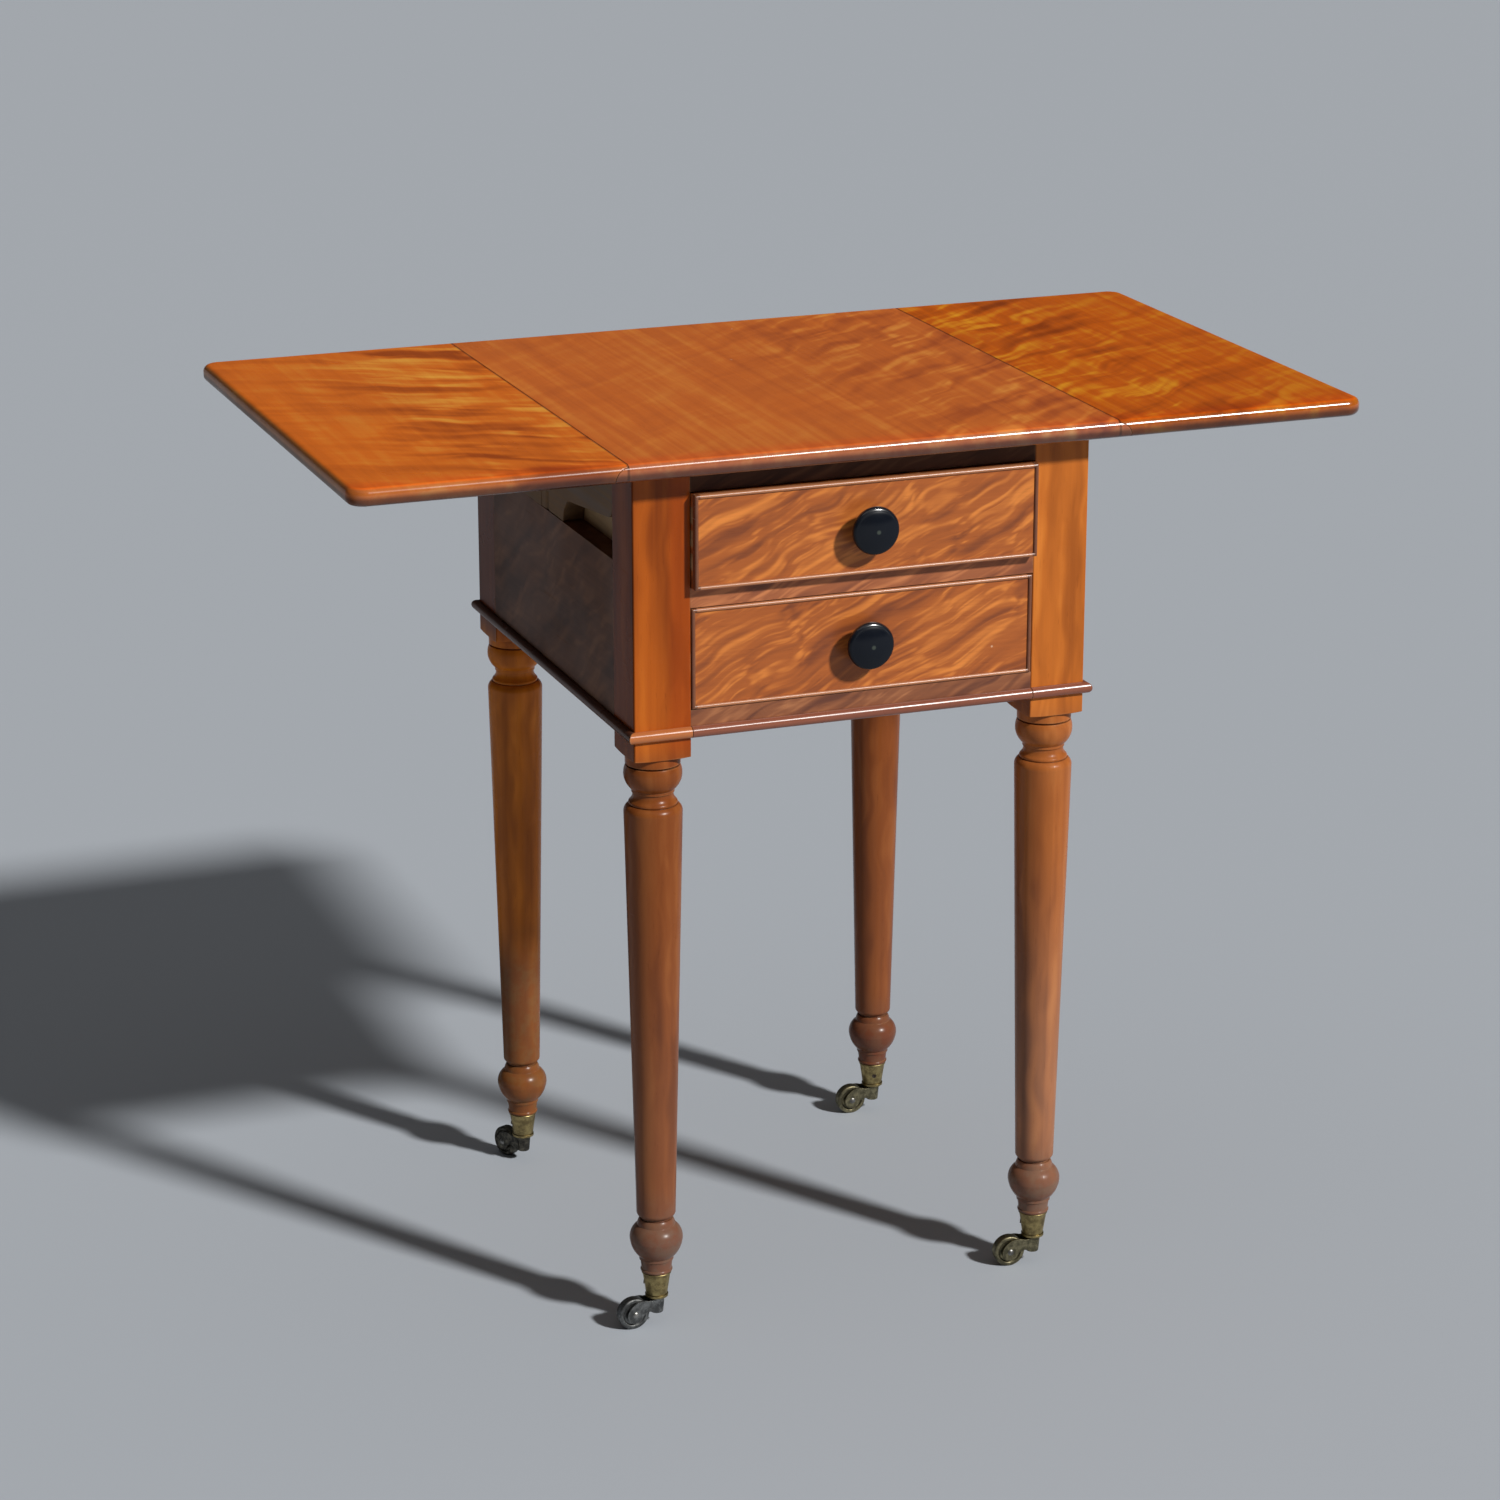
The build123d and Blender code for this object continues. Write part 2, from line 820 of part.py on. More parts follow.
def cup():
    """Tapered brass cup with a rolled rim and a bored base."""
    base_top = cup_bottom + cup_base
    bore = pintle_radius + running_clearance
    ring = cup_bottom_radius + cup_rim
    profile = outline(
        (bore, cup_bottom),
        (ring, cup_bottom),
        (ring, cup_bottom + cup_rim_height),
        (cup_bottom_radius, cup_bottom + cup_rim_height),
        (cup_top_radius, cup_top - cup_rim_height),
        (cup_top_radius, cup_top, cup_rim),
        (cup_bore(cup_top), cup_top),
        (cup_bore(base_top), base_top),
        (bore, base_top),
    )
    return revolve(Plane.XZ * profile, axis=Axis.Z)


def horn():
    """Swivel with a riveted pintle and two cheeks that hold the wheel."""
    top = cup_bottom - swivel_gap
    head_low = cup_bottom + cup_base + swivel_gap
    head_top = head_low + pintle_head_height
    flange_low = top - horn_flange_height
    stem = outline(
        (0, horn_foot_height),
        (horn_foot_radius - horn_foot_round, horn_foot_height),
        (horn_foot_radius, horn_foot_height + horn_foot_round, sag(horn_foot_round, 90)),
        (horn_radius, flange_low),
        (horn_radius + horn_flange, flange_low),
        (horn_radius + horn_flange, top),
        (pintle_radius, top),
        (pintle_radius, head_low),
        (pintle_head_radius, head_low),
        (pintle_head_radius - pintle_head_chamfer, head_top),
        (0, head_top),
    )
    hub = (castor_trail, wheel_radius)
    boss_bulge = sag(cheek_boss, cheek_boss_high - cheek_boss_low)
    cheek_side = outline(
        (0, cheek_root_height),
        (cheek_root, cheek_root_height),
        (*on_arc(hub, cheek_boss, cheek_boss_low), -cheek_hollow),
        (*on_arc(hub, cheek_boss, cheek_boss_high), boss_bulge),
        (cheek_shoulder, flange_low, cheek_crown),
        (0, flange_low),
    )
    inner = wheel_width / 2 + cheek_gap
    outer = inner + cheek_thickness
    body = revolve(Plane.XZ * stem, axis=Axis.Z)
    slab = extrude(Plane.XZ * cheek_side, amount=outer, both=True)
    slot_start = castor_trail - wheel_radius - 2 * cheek_gap
    slot = block((slot_start, 2 * castor_trail), (-inner, inner), (0, cup_bottom))
    body += slab - slot
    return body - rod(axle_radius + running_clearance, castor_trail, wheel_radius, -outer, outer)


def axle():
    """Pin through both cheeks with a riveted head at each end."""
    outer = wheel_width / 2 + cheek_gap + cheek_thickness
    pin = rod(axle_radius, castor_trail, wheel_radius, -outer, outer)
    head = outline(
        (0, outer),
        (axle_head, outer),
        (0, outer + axle_head_height, cap(axle_head, axle_head_height)),
    )
    dome = Pos(castor_trail, 0, wheel_radius) * revolve(head, axis=Axis.Y)
    return pin + dome + mirror(dome, about=Plane.XZ)


def wheel():
    """Solid wheel with a rounded tread, dished faces and a hub."""
    half = wheel_width / 2
    dish_outer = wheel_radius - wheel_rim
    bore = axle_radius + running_clearance
    shoulder = wheel_radius - wheel_round
    corner = sag(wheel_round, 90)
    profile = outline(
        (bore, -half),
        (wheel_hub, -half),
        (wheel_hub + wheel_dish, -half + wheel_dish),
        (dish_outer - wheel_dish, -half + wheel_dish),
        (dish_outer, -half),
        (shoulder, -half),
        (wheel_radius, -half + wheel_round, corner),
        (wheel_radius, half - wheel_round),
        (shoulder, half, corner),
        (dish_outer, half),
        (dish_outer - wheel_dish, half - wheel_dish),
        (wheel_hub + wheel_dish, half - wheel_dish),
        (wheel_hub, half),
        (bore, half),
    )
    return Pos(castor_trail, 0, wheel_radius) * revolve(profile, axis=Axis.Y)


def make_castors():
    cups = []
    for name, (x, y) in leg_places().items():
        place = Pos(x, y, 0) * Rot(0, 0, castor_turns[name])
        cups.append(place * cup())
        save(f"castor_horn_{name}", place * horn())
        save(f"castor_axle_{name}", place * axle())
        save(f"castor_wheel_{name}", place * wheel())
    save("castor_cups", *cups)


os.makedirs("parts", exist_ok=True)
make_top()
make_case()
make_drawer("upper", upper_sill, upper_opening, drawer_ajar)
make_drawer("lower", lower_sill, lower_opening, 0.0)
make_castors()
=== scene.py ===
# %% [markdown]
# # A drop-leaf work table in polished birch
#
# The construction of this table comes ready made: every board, rail, leg and castor is already
# a mesh of the right size in the right place. This lesson gives it its finish. It loads that
# construction, sets up a camera, a floor and lamps, and then makes the woods, the black polish
# of the knobs, the metals, and the small screws that hold the metalwork.

# %% Load the construction
import math

import bpy
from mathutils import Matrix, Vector


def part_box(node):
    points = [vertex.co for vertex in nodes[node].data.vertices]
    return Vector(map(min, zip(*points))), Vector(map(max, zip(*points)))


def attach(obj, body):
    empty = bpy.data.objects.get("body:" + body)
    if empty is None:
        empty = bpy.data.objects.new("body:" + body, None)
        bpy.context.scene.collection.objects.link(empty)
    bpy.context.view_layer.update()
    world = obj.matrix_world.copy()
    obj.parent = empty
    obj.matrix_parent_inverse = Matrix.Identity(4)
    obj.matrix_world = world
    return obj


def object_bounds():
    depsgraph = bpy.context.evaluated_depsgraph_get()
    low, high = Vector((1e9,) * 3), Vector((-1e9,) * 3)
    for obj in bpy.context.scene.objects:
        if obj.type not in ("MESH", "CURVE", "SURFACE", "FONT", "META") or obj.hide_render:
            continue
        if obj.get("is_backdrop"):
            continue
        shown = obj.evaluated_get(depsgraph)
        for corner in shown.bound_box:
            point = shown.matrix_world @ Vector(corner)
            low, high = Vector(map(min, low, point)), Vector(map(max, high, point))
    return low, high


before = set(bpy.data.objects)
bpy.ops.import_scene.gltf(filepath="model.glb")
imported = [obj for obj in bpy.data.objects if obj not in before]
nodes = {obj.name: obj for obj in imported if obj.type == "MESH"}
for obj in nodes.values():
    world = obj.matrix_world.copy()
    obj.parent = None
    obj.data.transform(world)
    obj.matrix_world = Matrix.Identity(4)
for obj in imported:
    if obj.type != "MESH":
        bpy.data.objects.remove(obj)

scene = bpy.context.scene
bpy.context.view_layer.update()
print("pieces of the construction:", len(nodes))

# %% [markdown]
# ## The camera
#
# The picture was taken from the front left and from above, with a long lens, so the sides of
# the table hardly converge. A camera is fixed by its place, the way it looks and its focal
# length. Aiming it with a turn and a tilt is easier to read than a rotation matrix: the turn is
# measured from straight ahead, the tilt from the horizon.

# %% Camera
camera_place = Vector((-1.1863, -3.0777, 1.4742))
camera_turn = math.radians(-20.774)
camera_tilt = math.radians(-17.856)
camera_lens = 100.98
sensor_width = 36.0

camera_data = bpy.data.cameras.new("camera")
camera_data.lens = camera_lens
camera_data.sensor_width = sensor_width
camera = bpy.data.objects.new("camera", camera_data)
camera.location = camera_place
camera.rotation_euler = (math.radians(90) + camera_tilt, 0.0, camera_turn)
scene.collection.objects.link(camera)
scene.camera = camera
print("camera lens in millimetres:", camera_lens)

# %% [markdown]
# ## Floor and lamps
#
# The table stands on a plain pale floor. A far lamp from the front right is the main light, so
# the left side lies in shade. A second one, as wide as a cloudy sky, hangs overhead: it opens the
# shadows and lights the top without shining in it. Lamps this far away give the same light all
# over the floor. Their power follows from the level of light that they should give, so that a
# colour renders about as it is written.

# %% Floor
scene.view_settings.view_transform = "Standard"
floor_reach = 30.0
floor_colour = (0.495, 0.535, 0.59, 1.0)
floor_roughness = 0.85


def new_mesh_object(name, mesh):
    made = bpy.data.objects.new(name, mesh)
    scene.collection.objects.link(made)
    return made


floor_mesh = bpy.data.meshes.new("floor")
floor_corners = [(x, y, 0.0) for x, y in ((-1, -1), (1, -1), (1, 1), (-1, 1))]
floor_mesh.from_pydata([Vector(corner) * floor_reach for corner in floor_corners], [], [(0, 1, 2, 3)])
floor = new_mesh_object("floor", floor_mesh)
floor_finish = bpy.data.materials.new("pale floor")
floor_finish.use_nodes = True
floor_shader = floor_finish.node_tree.nodes["Principled BSDF"]
floor_shader.inputs["Base Color"].default_value = floor_colour
floor_shader.inputs["Roughness"].default_value = floor_roughness
floor.data.materials.append(floor_finish)
floor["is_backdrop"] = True
print("floor reaches", floor_reach, "metres each way")

# %% Lamps
lamp_distance = 4.0


def far_lamp(name, turn, rise, spread, level, colour):
    """Lamp so far away that its light is even. Its turn is measured from the front to the right."""
    across, up = math.radians(turn), math.radians(rise)
    way = Vector((math.sin(across) * math.cos(up), -math.cos(across) * math.cos(up), math.sin(up)))
    data = bpy.data.lights.new(name, "SUN")
    data.angle = math.radians(spread)
    data.energy = level * math.pi
    data.color = colour
    made = bpy.data.objects.new(name, data)
    made.location = way * lamp_distance
    made.rotation_euler = way.to_track_quat("Z", "Y").to_euler()
    scene.collection.objects.link(made)
    print(f"{name}: level {level}, from {rise} degrees up")


far_lamp("main lamp", turn=32, rise=36, spread=5, level=1.05, colour=(1.0, 0.985, 0.96))
far_lamp("overhead lamp", turn=10, rise=84, spread=75, level=0.10, colour=(1.0, 0.99, 0.975))

# %% [markdown]
# ## Helpers for node trees
#
# A material is a tree of small nodes. A few helpers keep the trees short. `add_node` adds a node
# and fills its inputs, either with a value or with a link from another node, and `put` does so for
# shader nodes. `new_group` starts a node group, which is a tree with inputs and outputs of its own
# that many materials share.

# %% Helpers: adding nodes


def fill(tree, socket, value):
    """Give a socket its value. A value that is a socket becomes a link."""
    if isinstance(value, bpy.types.NodeSocket):
        tree.links.new(value, socket)
    else:
        socket.default_value = value


def add_node(tree, kind, values=None, **settings):
    """Add a node of any kind, with its settings and the values of its inputs."""
    made = tree.nodes.new(kind)
    for name, value in settings.items():
        setattr(made, name, value)
    for name, value in (values or {}).items():
        fill(tree, made.inputs[name], value)
    return made


def put(tree, kind, values=None, **settings):
    """Add a shader node."""
    return add_node(tree, "ShaderNode" + kind, values, **settings)


print("helpers that add nodes:", add_node.__name__, put.__name__)

# %% Helpers: sums and mixes


def calc(tree, operation, a, b=0.0, clamp=False):
    return put(tree, "Math", {0: a, 1: b}, operation=operation, use_clamp=clamp).outputs[0]


def move(tree, operation, a, b):
    return put(tree, "VectorMath", {0: a, 1: b}, operation=operation).outputs[0]


def split(tree, vector):
    """The X, Y and Z of a vector."""
    return put(tree, "SeparateXYZ", {0: vector}).outputs


def between(tree, value, low, high, to_low=0.0, to_high=1.0):
    """Smooth step of a value from one range to another."""
    values = {"Value": value, "From Min": low, "From Max": high, "To Min": to_low, "To Max": to_high}
    return put(tree, "MapRange", values, interpolation_type="SMOOTHSTEP").outputs["Result"]


def blend(tree, share, a, b, way="MIX"):
    """Mix of two colours."""
    made = put(tree, "Mix", data_type="RGBA", blend_type=way, clamp_factor=True)
    fill(tree, made.inputs[0], share)
    for socket, colour in ((made.inputs[6], a), (made.inputs[7], b)):
        fill(tree, socket, (*colour, 1.0) if isinstance(colour, tuple) else colour)
    return made.outputs[2]


def times(tree, colour, by):
    """A colour multiplied by another."""
    return blend(tree, 1.0, colour, by, "MULTIPLY")


def noise(tree, vector, scale, detail=2.0, roughness=0.5, distortion=0.0):
    values = {"Vector": vector, "Scale": scale, "Detail": detail, "Roughness": roughness}
    return put(tree, "TexNoise", {**values, "Distortion": distortion})


print("helpers for sums and mixes:", calc.__name__, between.__name__, blend.__name__)

# %% Helpers: groups


def new_group(name, inputs, outputs):
    """Node group with named sockets. Returns its tree, its inputs and its output node."""
    tree = bpy.data.node_groups.new(name, "ShaderNodeTree")
    for label, kind, value in inputs:
        socket = tree.interface.new_socket(label, in_out="INPUT", socket_type="NodeSocket" + kind)
        if value is not None:
            socket.default_value = value
    for label, kind in outputs:
        tree.interface.new_socket(label, in_out="OUTPUT", socket_type="NodeSocket" + kind)
    start = tree.nodes.new("NodeGroupInput")
    end = tree.nodes.new("NodeGroupOutput")
    return tree, start.outputs, end


def give(tree, end, **results):
    """Link results to a group's outputs."""
    for name, socket in results.items():
        tree.links.new(socket, end.inputs[name.title()])
    print("group:", tree.name)


def use(tree, group, values):
    return put(tree, "Group", values, node_tree=group).outputs


print("helpers for groups:", new_group.__name__, give.__name__, use.__name__)

# %% [markdown]
# ## The room
#
# The room is dim, so the polish mirrors little of it and the shadows stay deep. Behind the floor
# the camera sees a pale backdrop, and the polish mirrors only its lowest part. Light Path tells
# these rays from the ones that light the table, which see only the dim room.

# %% Room
dim_room = (0.0285, 0.0291, 0.0300)
pale_backdrop = (0.366, 0.386, 0.413)
mirrored_top = math.sin(math.radians(4))
mirrored_full = math.sin(math.radians(1))

world = bpy.data.worlds.new("room")
world.use_nodes = True
scene.world = world
tree = world.node_tree
rays = put(tree, "LightPath").outputs
rise = split(tree, put(tree, "TexCoord").outputs["Generated"])[2]
low_part = between(tree, rise, mirrored_top, mirrored_full)
mirrored = calc(tree, "MAXIMUM", rays["Is Glossy Ray"], rays["Is Transmission Ray"])
share = calc(tree, "MAXIMUM", rays["Is Camera Ray"], calc(tree, "MULTIPLY", mirrored, low_part))
fill(tree, tree.nodes["Background"].inputs["Color"], blend(tree, share, dim_room, pale_backdrop))
print("room:", len(tree.nodes), "nodes")

# %% [markdown]
# ## The figure of the birch
#
# Satin birch shows two patterns at once. Fine streaks run along the grain, and a ripple lies
# across it: soft bright crests like brush strokes, which bend and fade, with darker troughs
# between them. Noise that is stretched along the ripple gives such strokes wherever it passes a
# level, and a second noise bends them. A photograph of wood would be quicker, but a pattern made
# from nodes has no seams and fits every board.

# %% Group: birch figure
figure_group, inputs, end = new_group(
    "birch figure",
    [
        ("Grain", "Vector", None),
        ("Bands", "Vector", None),
        ("Band Length", "Float", 0.08),
        ("Band Width", "Float", 0.014),
        ("Band Bend", "Float", 0.02),
        ("Streak Width", "Float", 0.004),
    ],
    [(name, "Float") for name in ("Crests", "Troughs", "Streak", "Cloud", "Pores")],
)
bends_per_metre = 17.0
noise_middle = (0.5, 0.5, 0.5)
tree = figure_group
bend_noise = noise(tree, inputs["Bands"], bends_per_metre, detail=1.0).outputs["Color"]
bend = {0: move(tree, "SUBTRACT", bend_noise, noise_middle), "Scale": inputs["Band Bend"]}
bent = move(tree, "ADD", inputs["Bands"], put(tree, "VectorMath", bend, operation="SCALE").outputs[0])


def stretched(place, along, across):
    """A place divided by a length along X and by a width across it."""
    per_width = calc(tree, "DIVIDE", 1.0, across)
    scale = {"X": calc(tree, "DIVIDE", 1.0, along), "Y": per_width, "Z": per_width}
    return move(tree, "MULTIPLY", place, put(tree, "CombineXYZ", scale).outputs[0])


band_place = stretched(bent, inputs["Band Length"], inputs["Band Width"])
print("inputs of the figure:", [socket.name for socket in inputs if socket.name])

# %% Ripple of the figure
narrow_share = 0.8


def strokes(scale, shift, low, high):
    """Soft strokes along the ripple, where stretched noise lies between two levels."""
    level = noise(tree, move(tree, "ADD", band_place, shift), scale, detail=1.0).outputs["Fac"]
    return between(tree, level, low, high)


broad = strokes(scale=1.0, shift=(0.0, 3.1, 0.0), low=0.49, high=0.76)
narrow = strokes(scale=1.6, shift=(5.3, 2.7, 8.1), low=0.51, high=0.78)
crests = calc(tree, "MAXIMUM", broad, calc(tree, "MULTIPLY", narrow, narrow_share))
troughs = strokes(scale=0.7, shift=(9.1, 4.4, 1.7), low=0.44, high=0.74)
print("nodes of the ripple:", len(tree.nodes))

# %% Grain of the figure
streak_length = 0.3125
clouds_per_metre = (4.0, 11.0, 11.0)
pores_per_metre = (90.0, 1400.0, 1400.0)
pore_levels = (0.66, 0.78)

streak_place = stretched(inputs["Grain"], streak_length, inputs["Streak Width"])
streak = noise(tree, streak_place, 1.0, detail=3.0, roughness=0.6, distortion=0.3).outputs["Fac"]
cloud = noise(tree, move(tree, "MULTIPLY", inputs["Grain"], clouds_per_metre), 1.0).outputs["Fac"]
pore_place = move(tree, "MULTIPLY", inputs["Grain"], pores_per_metre)
pores = between(tree, noise(tree, pore_place, 1.0, detail=1.0).outputs["Fac"], *pore_levels)
give(tree, end, crests=crests, troughs=troughs, streak=streak, cloud=cloud, pores=pores)

# %% [markdown]
# ## Wear
#
# Two things betray an old table. Its edges are rubbed, and dirt sits where a cloth doesn't
# reach. The Bevel node rounds the normal near an edge, so where it differs from the true normal
# there is an edge: that gives both a mask for the rub and a softer edge that catches light. The
# Ambient Occlusion node finds the hollows, which the woods darken with dirt and painted shade.
# A third group scatters small dents and scratches.

# %% Group: edges and hollows
edge_group, inputs, end = new_group(
    "edges and hollows",
    [
        ("Vector", "Vector", None),
        ("Round", "Float", 0.0008),
        ("Rub", "Float", 0.002),
        ("Reach", "Float", 0.006),
    ],
    [("Normal", "Vector"), ("Rubbed", "Float"), ("Hollow", "Float")],
)
flat_to_edge = (0.995, 0.86)
open_to_hollow = (0.92, 0.45)
rub_levels = (0.40, 0.66)
tree = edge_group
soft = put(tree, "Bevel", {"Radius": inputs["Round"]}, samples=6).outputs[0]
wide = put(tree, "Bevel", {"Radius": inputs["Rub"]}, samples=6).outputs[0]
true_normal = put(tree, "NewGeometry").outputs["Normal"]
same = put(tree, "VectorMath", {0: wide, 1: true_normal}, operation="DOT_PRODUCT").outputs["Value"]
patches = noise(tree, inputs["Vector"], scale=55.0, detail=3.0, roughness=0.6).outputs["Fac"]
patchy = between(tree, patches, *rub_levels)
rubbed = calc(tree, "MULTIPLY", between(tree, same, *flat_to_edge), patchy)
hidden = put(tree, "AmbientOcclusion", {"Distance": inputs["Reach"]}, samples=8, only_local=True)
hollow = between(tree, hidden.outputs["AO"], *open_to_hollow)
give(tree, end, normal=soft, rubbed=rubbed, hollow=hollow)

# %% Group: handling marks
marks_group, inputs, end = new_group(
    "handling marks",
    [("Vector", "Vector", None)],
    [("Dents", "Float"), ("Scratches", "Float"), ("Smudge", "Float")],
)
cells_per_metre = 26.0
dented_cells = (0.80, 0.82)
dent_radius = (0.032, 0.012)
scratches_per_metre = (300.0, 14.0, 300.0)
scratch_levels = (0.71, 0.76)
tree = marks_group
cell = put(tree, "TexVoronoi", {"Vector": inputs["Vector"], "Scale": cells_per_metre}, feature="F1")
cell_number = put(tree, "SeparateColor", {"Color": cell.outputs["Color"]}).outputs[0]
spot = between(tree, cell.outputs["Distance"], *dent_radius)
dents = calc(tree, "MULTIPLY", spot, between(tree, cell_number, *dented_cells))
scratch_place = move(tree, "MULTIPLY", inputs["Vector"], scratches_per_metre)
scratch_noise = noise(tree, scratch_place, 1.0, detail=1.0, distortion=0.8).outputs["Fac"]
scratches = between(tree, scratch_noise, *scratch_levels)
smudge = noise(tree, inputs["Vector"], scale=9.0, detail=4.0, roughness=0.62).outputs["Fac"]
give(tree, end, dents=dents, scratches=scratches, smudge=smudge)

# %% [markdown]
# ## Polished birch
#
# All the show wood is the same timber under the same polish, but no two boards match: the
# drawer fronts have bold slanting ripple, the posts are plain, the legs are darker and redder.
# One function makes the material, and each board gives it its own colours, the way its grain
# runs and the size of its ripple. The polish is a clear coat over the wood, which is how French
# polish lies on a real table.

# %% Starting a material


def start_material(name):
    made = bpy.data.materials.new(name)
    made.use_nodes = True
    tree = made.node_tree
    place = put(tree, "TexCoord").outputs["Object"]
    return made, tree, place, tree.nodes["Principled BSDF"]


def plug(tree, shader, **sockets):
    """Fill the shader's sockets. A number that is the same all over stays on the socket itself."""
    for name, value in sockets.items():
        fill(tree, shader.inputs[name.replace("_", " ").title().replace("Ior", "IOR")], value)


def turned(tree, place, turn, shift=(0.0, 0.0, 0.0)):
    """Object coordinates turned so that the local X runs along the grain or the band."""
    angles = tuple(math.radians(angle) for angle in turn)
    values = {"Vector": place, "Rotation": angles, "Location": shift}
    return put(tree, "Mapping", values).outputs[0]


def bump(tree, height, strength, distance, normal):
    values = {"Height": height, "Strength": strength, "Distance": distance, "Normal": normal}
    return put(tree, "Bump", values).outputs[0]


along_x = (0.0, 0.0, 0.0)
along_y = (0.0, 0.0, -90.0)
along_z = (0.0, 90.0, 0.0)
slanting = (0.0, 26.0, 0.0)
print("ripple of the drawers slants by", slanting[1], "degrees")

# %% Tone and wear of birch
cloud_share = 0.5
pore_share = 0.30
worn_share = 0.5
dent_share = 0.8
dirt_and_shade = (0.50, 0.40, 0.34)
worn_wood = (0.62, 0.34, 0.15)
dented_wood = (0.80, 0.58, 0.40)


def birch_tone(tree, place, wood, figure, zone):
    """How far the wood is from its middle tone: the sum of ripple, streaks and clouds."""
    crests = calc(tree, "MULTIPLY", wood["Crests"], figure["crests"])
    troughs = calc(tree, "MULTIPLY", wood["Troughs"], figure["troughs"])
    tone = calc(tree, "SUBTRACT", crests, troughs)
    if zone:
        start, stop, least = zone
        x = split(tree, place)[0]
        tone = calc(tree, "MULTIPLY", tone, between(tree, x, start, stop, least, 1.0))
    for part, share in (("Streak", figure["streaks"]), ("Cloud", cloud_share)):
        off_middle = calc(tree, "SUBTRACT", wood[part], 0.5)
        tone = calc(tree, "ADD", tone, calc(tree, "MULTIPLY", off_middle, share))
    return tone


def in_tones(tree, tone, tones):
    """The colour of a tone, between a light, a middle and a dark colour."""
    light, middle, dark = tones
    colour = blend(tree, calc(tree, "MULTIPLY", tone, 1.0, clamp=True), middle, light)
    return blend(tree, calc(tree, "MULTIPLY", tone, -1.0, clamp=True), colour, dark)


def weathered(tree, colour, wood, edges, marks, rub, hollow):
    """Wood with dirt in its pores, dirt and painted shade in its hollows, rubbed edges and pale dents."""
    dirty = times(tree, colour, dirt_and_shade)
    colour = blend(tree, calc(tree, "MULTIPLY", wood["Pores"], pore_share), colour, dirty)
    # The hollows get dirt and painted shade.
    colour = blend(tree, calc(tree, "MULTIPLY", edges["Hollow"], hollow), colour, dirty)
    worn = blend(tree, worn_share, colour, worn_wood)
    colour = blend(tree, calc(tree, "MULTIPLY", edges["Rubbed"], rub), colour, worn)
    return blend(tree, calc(tree, "MULTIPLY", marks["Dents"], dent_share), colour, dented_wood)


print("wear: strength of the pores", pore_share, "and of the dents", dent_share)

# %% Polished birch
pattern_step = 0.37
smudge_levels = (0.30, 0.72)
smudge_change = (-0.05, 0.08)
scratch_roughness = 0.08
streak_relief = 0.5
coat_per_shine = 1.0 / 3.0


def birch(name, tones, grain, bands, figure, rub=0.45, hollow=0.6, gloss=0.32, shine=0.30, polish=0.18,
          tint=None, zone=None, lustre=None):
    """Polished birch in three tones, from light to dark.

    `figure` holds the ripple's length, width and bend, the strength of its crests and troughs, and
    the strength and width of the streaks. `zone` holds two places along X and a share: the ripple
    grows from that share at the first place to all of it at the second. `gloss` and `polish` are
    the roughness of the wood and of its coat, and `shine` is how much both mirror. `tint` changes
    the colour from place to place, and `lustre` the clear coat and the roughness. The length of
    `name` shifts the pattern from board to board.
    """
    made, tree, place, shader = start_material(name)
    shift = tuple(pattern_step * (len(name) + index * 3) for index in range(3))
    values = {
        "Grain": turned(tree, place, grain, shift),
        "Bands": turned(tree, place, bands, shift),
        "Band Length": figure["length"],
        "Band Width": figure["width"],
        "Band Bend": figure["bend"],
        "Streak Width": figure["streak_width"],
    }
    wood = use(tree, figure_group, values)
    edges = use(tree, edge_group, {"Vector": place})
    marks = use(tree, marks_group, {"Vector": place})
    colour = in_tones(tree, birch_tone(tree, place, wood, figure, zone), tones)
    if tint:
        colour = tint(tree, place, colour)
    colour = weathered(tree, colour, wood, edges, marks, rub, hollow)
    smooth, dull = (gloss + change for change in smudge_change)
    rough = between(tree, marks["Smudge"], *smudge_levels, smooth, dull)
    rough = calc(tree, "ADD", rough, calc(tree, "MULTIPLY", marks["Scratches"], scratch_roughness))
    coat = shine * coat_per_shine
    if lustre:
        coat, smoother = lustre(tree, place)
        rough = calc(tree, "SUBTRACT", rough, smoother)
    streak_height = calc(tree, "MULTIPLY", wood["Streak"], streak_relief)
    height = calc(tree, "SUBTRACT", streak_height, marks["Dents"])
    normal = bump(tree, height, strength=0.10, distance=0.0006, normal=edges["Normal"])
    plug(tree, shader, base_color=colour, roughness=rough, normal=normal, specular_ior_level=shine)
    plug(tree, shader, coat_weight=coat, coat_roughness=polish, coat_normal=edges["Normal"])
    print("birch:", name)
    return made


print("smudges change the roughness by", smudge_change)

# %% [markdown]
# ## One material for each kind of board
#
# The grain of the top runs from front to back, so its ripple lies from side to side. The leaves
# are a little more orange than the fixed board. On the drawer fronts and rails the bands slant
# upwards to the right. The legs are cut from one length each: orange in the square post, and
# darker and redder down the turned part, with a little dust and painted sheen towards the floor
# and a scuffed foot. The left face of each post carries painted shade.

# %% Tints of the top
joint_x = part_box("leaf_right")[0].x
left_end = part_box("leaf_left")[0].x
top_low, top_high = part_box("top_board")
front_edge, surface = top_low.y, top_high.z
joint_dirt = (0.40, 0.30, 0.26)
joint_dirt_reach = (0.0016, 0.0004)
joint_dirt_share = 0.8
margin_start, margin_full = front_edge + 0.030, front_edge + 0.008
redder_margin = (1.08, 0.86, 0.85)
# The nosing's brown is partly wear and partly painted shade that holds back the lamp's glow on the rounded
# edge; the nosing's lower half and the underside get painted shade.
nosing_brown_and_shade = (0.58, 0.88, 2.0)
nosing_depths = (0.00005, 0.0016)
painted_shade_below = (0.30, 0.30, 0.36)
under_depths = (0.0050, 0.0090)


def below_surface(tree, z, start, full):
    """Share that grows from one depth below the top's surface to another."""
    return between(tree, z, surface - start, surface - full)


